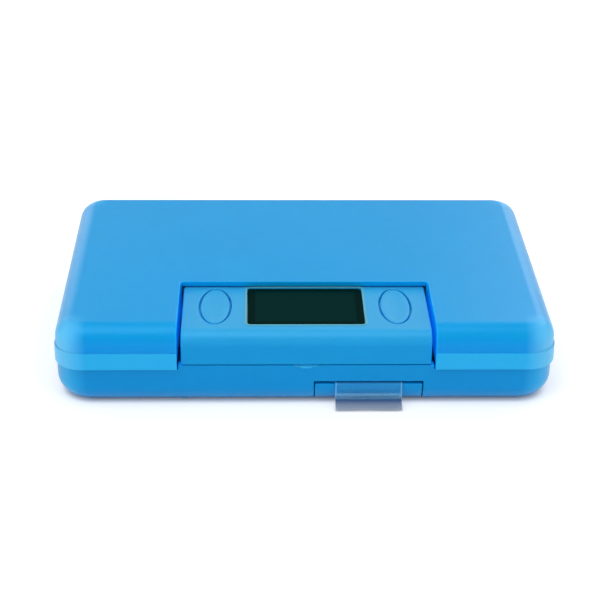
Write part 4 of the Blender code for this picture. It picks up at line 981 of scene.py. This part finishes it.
def cut_scoop(base):
    """The finger scoop at the middle of the front seam."""
    bm = bmesh.new()
    bmesh.ops.create_uvsphere(bm, u_segments=48, v_segments=24, radius=1.0)
    bmesh.ops.scale(bm, vec=(SCOOP_HALF_WIDTH, SCOOP_REACH, SCOOP_HALF_HEIGHT), verts=bm.verts)
    middle = (MODULE_X, -BASE_HALF_DEPTH - SCOOP_REACH + SCOOP_DEPTH, SEAM + SCOOP_RISE)
    bmesh.ops.translate(bm, vec=middle, verts=bm.verts)
    cut(base, bm)


def bent_cover(half, front, rear, low, high, fillet, side=0.0):
    """A box with the bend at the front of its top."""
    bm = slab_about(MODULE_X, half, front, rear, low, high)
    bend = edges_where(bm, lambda co: abs(co.y - front) < TOUCH and abs(co.z - high) < TOUCH)
    round_edges(bm, bend, fillet, 14)
    if side:
        rims = []
        for end in (MODULE_X - half, MODULE_X + half):
            for e in edges_where(bm, lambda co: abs(co.x - end) < TOUCH):
                middle = (e.verts[0].co + e.verts[1].co) / 2
                if middle.z > low + TOUCH and middle.y < rear - TOUCH:
                    rims.append(e)
        round_edges(bm, rims, side, 3)
    return bm


def round_window(margin, low, high, **edges):
    """A form that goes round the display window with a margin."""
    window_low, window_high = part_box("display_window")
    return rounded_slab(
        (window_low.x - margin, window_low.y - margin, low),
        (window_high.x + margin, window_high.y + margin, high),
        WINDOW_CORNER + margin,
        corner_steps=8,
        **edges,
    )


def make_cover(sizes):
    """The module cover with its bezel, display opening and button holes."""
    low, under, fillet = SEAM + GAP, COVER_TOP - COVER_WALL, sizes.cover_fillet
    front = -BASE_HALF_DEPTH
    outside = bent_cover(MODULE_HALF, front, MODULE_REAR, low, COVER_TOP, fillet, COVER_SIDE_ROUND)
    cover = as_object("cover", outside)
    cut(cover, bent_cover(BAY_HALF, front + COVER_WALL, BAY_REAR, low - OVER, under, fillet - COVER_WALL))
    for node in BUTTONS:
        cut(cover, button_form(node, BUTTON_HOLE_CLEARANCE, COVER_TOP - 2 * COVER_WALL, COVER_TOP + OVER))
    foot = BASE_BOSS_TOP + GAP
    for x, y in screw_places():
        join(cover, rod(x, y, COVER_BOSS, foot, BOARD_TOP + GAP + SINK))
        join(cover, rod(x, y, COVER_BOSS_WIDE, BOARD_TOP + GAP, under + SINK))
        cut(cover, rod(x, y, SCREW_HOLE, foot - OVER, SCREW_HOLE_TOP))
    soften(cover, sizes.edge)
    edge = dict(top=BEZEL_HEIGHT / 2, steps=2)
    join(cover, round_window(WINDOW_CLEARANCE + BEZEL_WIDTH, COVER_TOP - SINK, COVER_TOP + BEZEL_HEIGHT, **edge))
    cut(cover, round_window(WINDOW_CLEARANCE, COVER_TOP - 2 * COVER_WALL, COVER_TOP + OVER))
    return finish_piece(cover, "cover_finished", "cover_blue", "case", ["module_cover"])


def button_oval(node):
    """The middle and the size of a button's cap; its flange is wider by the same on every side."""
    low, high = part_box(node)
    grown = 2 * (BUTTON_CLEARANCE + BUTTON_FLANGE)
    return (low.x + high.x) / 2, (low.y + high.y) / 2, high.x - low.x - grown, high.y - low.y - grown


def button_form(node, margin, low, high):
    """An oval rod that goes round the button's cap with a margin."""
    x, y, width, depth = button_oval(node)
    half = width / 2 + margin
    return rod(x, y, half, low, high, 96, (depth / 2 + margin) / half)


def make_button(node):
    """A push button: oval cap with a soft edge and a shallow dish, flange and stem."""
    x, y, width, depth = button_oval(node)
    flange_top = COVER_TOP - COVER_WALL - GAP
    flange_low = flange_top - BUTTON_FLANGE_THICKNESS
    cap = button_form(node, 0.0, flange_low, COVER_TOP)
    round_edges(cap, level(cap, COVER_TOP), BUTTON_EDGE, 4)
    across, along = width - 2 * BUTTON_EDGE, depth - 2 * BUTTON_EDGE
    to_middle = Matrix.Translation((-x, -y, 0))
    for inset, drop in BUTTON_DISH:
        top = [max(cap.faces, key=lambda f: (len(f.verts), f.calc_center_median().z))]
        grown = bmesh.ops.extrude_face_region(cap, geom=top)["geom"]
        bmesh.ops.delete(cap, geom=top, context="FACES_ONLY")
        ring = only(grown, bmesh.types.BMVert)
        scale = ((across - 2 * inset) / across, (along - 2 * inset) / along, 1.0)
        bmesh.ops.scale(cap, vec=scale, space=to_middle, verts=ring)
        bmesh.ops.translate(cap, vec=(0, 0, -drop), verts=ring)
        across, along = across - 2 * inset, along - 2 * inset
    button = as_object("button", cap)
    join(
        button,
        button_form(node, BUTTON_CLEARANCE + BUTTON_FLANGE, flange_low - TOUCH, flange_top),
        rod(x, y, BUTTON_STEM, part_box(node)[0].z, flange_top - BUTTON_FLANGE_THICKNESS / 2, 32),
    )
    return finish_piece(button, node + "_finished", "button_blue", node, [node])


def make_window():
    low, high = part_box("display_window")
    bm = rounded_slab(low, high, WINDOW_CORNER, top=WINDOW_EDGE, corner_steps=8, steps=4)
    return finish_piece(as_object("window", bm), "window_finished", "window_dark", "case", ["display_window"])


def well_boxes():
    """The eight wells as (low x, low y, high x, high y)."""
    half = TRAY_WALL / 2
    outer_x = INSIDE_HALF_WIDTH - GAP - TRAY_WALL
    outer_y = INSIDE_HALF_DEPTH - GAP - TRAY_WALL
    front = MODULE_REAR + TRAY_MODULE_GAP + TRAY_WALL
    split = (front + outer_y) / 2
    boxes = []
    for side in (-1, 1):
        inner = MODULE_X + side * (TRAY_NOTCH_HALF + TRAY_WALL)
        xs = sorted((inner, side * outer_x))
        boxes += [(xs[0], -outer_y, xs[1], -half), (xs[0], half, xs[1], outer_y)]
        xs = sorted((side * half, inner - side * TRAY_WALL))
        boxes += [(xs[0], front, xs[1], split - half), (xs[0], split + half, xs[1], outer_y)]
    return boxes


def make_tray():
    """The pill tray with eight scooped wells."""
    low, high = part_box("pill_tray")
    body = centred(high.x, high.y, low.z, high.z, INSIDE_CORNER - GAP, under=FLOOR_ROUND, steps=6)
    tray = as_object("tray", body)
    rear = MODULE_REAR + TRAY_MODULE_GAP
    cut(tray, slab_about(MODULE_X, TRAY_NOTCH_HALF, -CLEAR_OUT, rear, low.z - OVER, high.z + OVER))
    for x0, y0, x1, y1 in well_boxes():
        low_corner, high_corner = (x0, y0, low.z + TRAY_FLOOR), (x1, y1, high.z + OVER)
        cut(tray, rounded_slab(low_corner, high_corner, WELL_CORNER, under=WELL_SCOOP, corner_steps=8, steps=8))
    return finish_piece(tray, "tray_finished", "tray_white", "case", ["pill_tray"], TRAY_EDGE)


def make_drawer(sizes):
    """The battery drawer: a panel that continues the case, and a body with the round pocket."""
    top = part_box("battery_drawer")[1].z
    rim = top - DRAWER_RIM_DROP
    front, rear, lip = -BASE_HALF_DEPTH, DRAWER_REAR, FLOOR + GAP
    body = as_object("body", slab_about(DRAWER_X, DRAWER_HALF, front + SINK, rear, DRAWER_LIFT, rim))
    join(body, slab_about(DRAWER_X, DRAWER_LIP_HALF, LIP_FRONT - SINK, rear - SINK, lip, lip + LIP_THICKNESS))
    keep_within(body, base_limit(sizes, SEAM))
    cut(
        body,
        rod(DRAWER_X, CELL_Y, POCKET_RADIUS, POCKET_LEVEL, rim + OVER, 96),
        slab_about(DRAWER_X, POCKET_CHANNEL_HALF, CELL_Y, rear + OVER, POCKET_LEVEL + SINK, rim + OVER),
    )
    inner = DRAWER_HALF - DRAWER_WALL
    width = (2 * inner - 2 * DRAWER_RIB) / 3
    for i in range(3):
        left = DRAWER_X - inner + i * (width + DRAWER_RIB)
        low = (left, WRAP_REAR + DRAWER_WALL, -OVER)
        cut(body, slab(low, (left + width, rear - DRAWER_WALL, POCKET_LEVEL - DRAWER_WALL)))
    panel = as_object("panel", slab_about(DRAWER_X, DRAWER_PANEL_HALF, -CLEAR_OUT, WRAP_REAR, -OVER, top))
    keep_within(panel, base_limit(sizes, SEAM))
    wall = DRAWER_PANEL_WALL
    width, depth, corner = BASE_HALF_WIDTH - wall, BASE_HALF_DEPTH - wall, BASE_CORNER - wall
    cut(panel, centred(width, depth, wall, SEAM + OVER, corner, under=sizes.base_fillet - wall))
    join(panel, as_form(body))
    return finish_piece(panel, "drawer_finished", "base_blue", "battery_drawer", ["battery_drawer"], sizes.edge)


def film_line():
    """The film's middle line in the YZ plane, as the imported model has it, with finer bends."""
    low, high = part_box("pull_tab")
    top = high.z - FILM_HALF_SOLID
    hang = -BASE_HALF_DEPTH - FILM_HANG_GAP
    fold_y = hang - FILM_LEAN
    points = [(-BASE_HALF_DEPTH + FILM_INNER_LENGTH, top)]
    for i in range(9):
        angle = math.radians(90 + 90 * i / 8)
        y = hang + FILM_BEND + FILM_BEND * math.cos(angle)
        points.append((y, top - FILM_BEND + FILM_BEND * math.sin(angle)))
    points += zip((fold_y, fold_y - FOLD_REACH, (fold_y + low.y) / 2, low.y + FLAP_END_GAP), FOLD_HEIGHTS)
    return points


def make_film(sizes):
    """The pull tab: one sheet out over the drawer, folded forward at its foot."""
    low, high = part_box("pull_tab")
    columns = 40
    bm = bmesh.new()
    row = [bm.verts.new((low.x, y, z)) for y, z in film_line()]
    edges = [bm.edges.new(pair) for pair in zip(row, row[1:])]
    step = (high.x - low.x) / columns
    for _ in range(columns):
        grown = bmesh.ops.extrude_edge_only(bm, edges=edges)["geom"]
        bmesh.ops.translate(bm, vec=(step, 0, 0), verts=only(grown, bmesh.types.BMVert))
        fresh = only(grown, bmesh.types.BMEdge)
        edges = [e for e in fresh if abs(e.verts[0].co.x - e.verts[1].co.x) < TOUCH / 10]
    for v in bm.verts:
        out = max(0.0, (-BASE_HALF_DEPTH - FLAP_START - v.co.y) / FLAP_LENGTH)
        v.co.z += sizes.film_wave * out * (0.5 + 0.5 * math.sin(v.co.x * FLAP_WAVES))
    film = as_object("film", bm)
    thick = film.modifiers.new("thickness", "SOLIDIFY")
    thick.thickness = FILM_THICKNESS
    thick.offset = 0
    return finish_piece(film, "pull_tab_finished", "film", "pull_tab", ["pull_tab"])


CARRIED = {
    "steel": ("hinge_pin_left", "hinge_pin_right", *(f"cover_screw_{i}" for i in range(1, 5))),
    "nickel": ("quartz_crystal", "cell_contact_upper", "cell_contact_rear", "coin_cell"),
    "glass_grey": ("lcd_panel",),
    "holder_white": ("lcd_holder",),
    "strip_grey": ("zebra_strip_front", "zebra_strip_rear"),
    "board_green": ("circuit_board",),
    "switch_black": ("left_switch", "right_switch", "buzzer"),
    "chip_black": ("timer_chip",),
}


def paint_carried_nodes():
    """The CAD nodes that stay get their finishes."""
    for slot, nodes in CARRIED.items():
        for node in nodes:
            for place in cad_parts[node].material_slots:
                place.material = PAINT[slot]


def floor_material():
    """Pale floor: plain white to the camera and in reflections, also far out, with the shadow kept."""
    tree = NodeTree("pale_floor")
    tree.nodes.remove(tree.shader)
    path = tree.add("ShaderNodeLightPath").outputs
    seen = tree.sum("MAXIMUM", path["Is Camera Ray"], path["Is Glossy Ray"])
    seen = tree.sum("MAXIMUM", seen, path["Is Transmission Ray"])
    near = tree.add("ShaderNodeAmbientOcclusion", Distance=SHADOW_LINE).outputs["AO"]
    far = tree.add("ShaderNodeVectorMath", {"operation": "LENGTH"}, Vector=tree.place).outputs["Value"]
    lift = tree.ranged(far, FLOOR_LIFT, FAR_FLOOR_LIFT, FLOOR_NEAR, FLOOR_FAR)
    strength = tree.times(seen, near, lift)
    both = tree.add("ShaderNodeAddShader")
    tree.links.new(tree.add("ShaderNodeBsdfDiffuse", Color=FLOOR_WHITE).outputs[0], both.inputs[0])
    tree.links.new(tree.add("ShaderNodeEmission", Strength=strength).outputs[0], both.inputs[1])
    tree.links.new(both.outputs[0], tree.nodes["Material Output"].inputs["Surface"])
    return tree.material


def add_area(name, place, size, power):
    lamp = bpy.data.lights.new(name, "AREA")
    lamp.shape = "SQUARE"
    lamp.size = size
    lamp.energy = power
    obj = bpy.data.objects.new(name, lamp)
    bpy.context.scene.collection.objects.link(obj)
    obj.location = place
    obj.rotation_euler = (Vector(LAMP_AIM) - Vector(place)).to_track_quat("-Z", "Y").to_euler()


def make_world():
    """Soft light from all round, and plain white where the camera looks past the floor."""
    world = bpy.data.worlds.new("soft_studio")
    world.use_nodes = True
    nodes, links = world.node_tree.nodes, world.node_tree.links
    shade = nodes["Background"]
    shade.inputs["Color"].default_value = (1.0, 1.0, 1.0, 1.0)
    strength = nodes.new("ShaderNodeMapRange")
    strength.inputs["To Min"].default_value = WORLD_STRENGTH
    strength.inputs["To Max"].default_value = 1.0
    links.new(nodes.new("ShaderNodeLightPath").outputs["Is Camera Ray"], strength.inputs["Value"])
    links.new(strength.outputs["Result"], shade.inputs["Strength"])
    bpy.context.scene.world = world


def make_camera():
    """The camera at the photograph's angle: long lens, slightly above, turned a little about its axis."""
    data = bpy.data.cameras.new("camera")
    data.lens = CAMERA_LENS
    data.sensor_width = 36.0
    data.sensor_fit = "HORIZONTAL"
    data.shift_x, data.shift_y = CAMERA_SHIFT
    data.clip_start = 0.01
    data.clip_end = 20.0
    camera = bpy.data.objects.new("camera", data)
    bpy.context.scene.collection.objects.link(camera)
    azimuth, elevation, roll = (math.radians(angle) for angle in CAMERA_ANGLES)
    level_part = math.cos(elevation)
    back = Vector((math.sin(azimuth) * level_part, -math.cos(azimuth) * level_part, math.sin(elevation)))
    camera.location = Vector(CAMERA_AIM) + back * CAMERA_DISTANCE
    camera.rotation_mode = "QUATERNION"
    turn = Matrix.Rotation(roll, 4, "Z").to_quaternion()
    camera.rotation_quaternion = (-back).to_track_quat("-Z", "Y") @ turn
    bpy.context.scene.camera = camera


def make_stage():
    bm = bmesh.new()
    bmesh.ops.create_grid(bm, x_segments=1, y_segments=1, size=FLOOR_HALF)
    floor = as_object("floor", bm)
    floor.data.materials.append(floor_material())
    if floor.data.polygons[0].normal.z < 0:
        floor.data.flip_normals()
    make_world()
    for name, place, size, power in LAMPS:
        add_area(name, place, size, power)
    bpy.context.scene.view_settings.view_transform = "Standard"
    make_camera()


class PILLBOX_OT_finishes(bpy.types.Operator):
    """Makes every finish, and paints the nodes that stay"""

    bl_idname = "pillbox.finishes"
    bl_label = "Finishes"

    def execute(self, context):
        make_finishes(context.scene.pillbox_colours)
        paint_carried_nodes()
        return {"FINISHED"}


class PILLBOX_OT_lid(bpy.types.Operator):
    """Builds the hinged lid"""

    bl_idname = "pillbox.lid"
    bl_label = "Lid"

    def execute(self, context):
        make_lid(context.scene.pillbox_sizes)
        return {"FINISHED"}


class PILLBOX_OT_base(bpy.types.Operator):
    """Builds the lower case"""

    bl_idname = "pillbox.base"
    bl_label = "Base"

    def execute(self, context):
        make_base(context.scene.pillbox_sizes)
        return {"FINISHED"}


class PILLBOX_OT_module(bpy.types.Operator):
    """Builds the module cover, its window and its two buttons"""

    bl_idname = "pillbox.module"
    bl_label = "Timer module"

    def execute(self, context):
        make_cover(context.scene.pillbox_sizes)
        make_window()
        for node in BUTTONS:
            make_button(node)
        return {"FINISHED"}


class PILLBOX_OT_tray(bpy.types.Operator):
    """Builds the pill tray"""

    bl_idname = "pillbox.tray"
    bl_label = "Pill tray"

    def execute(self, context):
        make_tray()
        return {"FINISHED"}


class PILLBOX_OT_drawer(bpy.types.Operator):
    """Builds the battery drawer and its pull tab"""

    bl_idname = "pillbox.drawer"
    bl_label = "Battery drawer"

    def execute(self, context):
        sizes = context.scene.pillbox_sizes
        make_drawer(sizes)
        make_film(sizes)
        return {"FINISHED"}


class PILLBOX_OT_stage(bpy.types.Operator):
    """Adds the floor, the lights and the camera"""

    bl_idname = "pillbox.stage"
    bl_label = "Stage"

    def execute(self, context):
        make_stage()
        return {"FINISHED"}


class PILLBOX_PT_panel(bpy.types.Panel):
    """Lists the sizes, the colours and the steps"""

    bl_idname = "PILLBOX_PT_panel"
    bl_label = "Pill box"
    bl_space_type = "VIEW_3D"
    bl_region_type = "UI"
    bl_category = "Pill box"

    def draw(self, context):
        column = self.layout.column()
        for group in (context.scene.pillbox_sizes, context.scene.pillbox_colours):
            for name in group.__annotations__:
                column.prop(group, name)
        for step in OPERATORS:
            column.operator(step.bl_idname)


OPERATORS = (
    PILLBOX_OT_finishes,
    PILLBOX_OT_lid,
    PILLBOX_OT_base,
    PILLBOX_OT_module,
    PILLBOX_OT_tray,
    PILLBOX_OT_drawer,
    PILLBOX_OT_stage,
)
CLASSES = (PillBoxSizes, PillBoxColours, *OPERATORS, PILLBOX_PT_panel)


def register():
    for item in CLASSES:
        bpy.utils.register_class(item)
    bpy.types.Scene.pillbox_sizes = PointerProperty(type=PillBoxSizes)
    bpy.types.Scene.pillbox_colours = PointerProperty(type=PillBoxColours)


def unregister():
    del bpy.types.Scene.pillbox_colours
    del bpy.types.Scene.pillbox_sizes
    for item in reversed(CLASSES):
        bpy.utils.unregister_class(item)


def main():
    register()
    bpy.ops.pillbox.finishes()
    bpy.ops.pillbox.lid()
    bpy.ops.pillbox.base()
    bpy.ops.pillbox.module()
    bpy.ops.pillbox.tray()
    bpy.ops.pillbox.drawer()
    bpy.ops.pillbox.stage()


if __name__ == "__main__":
    main()
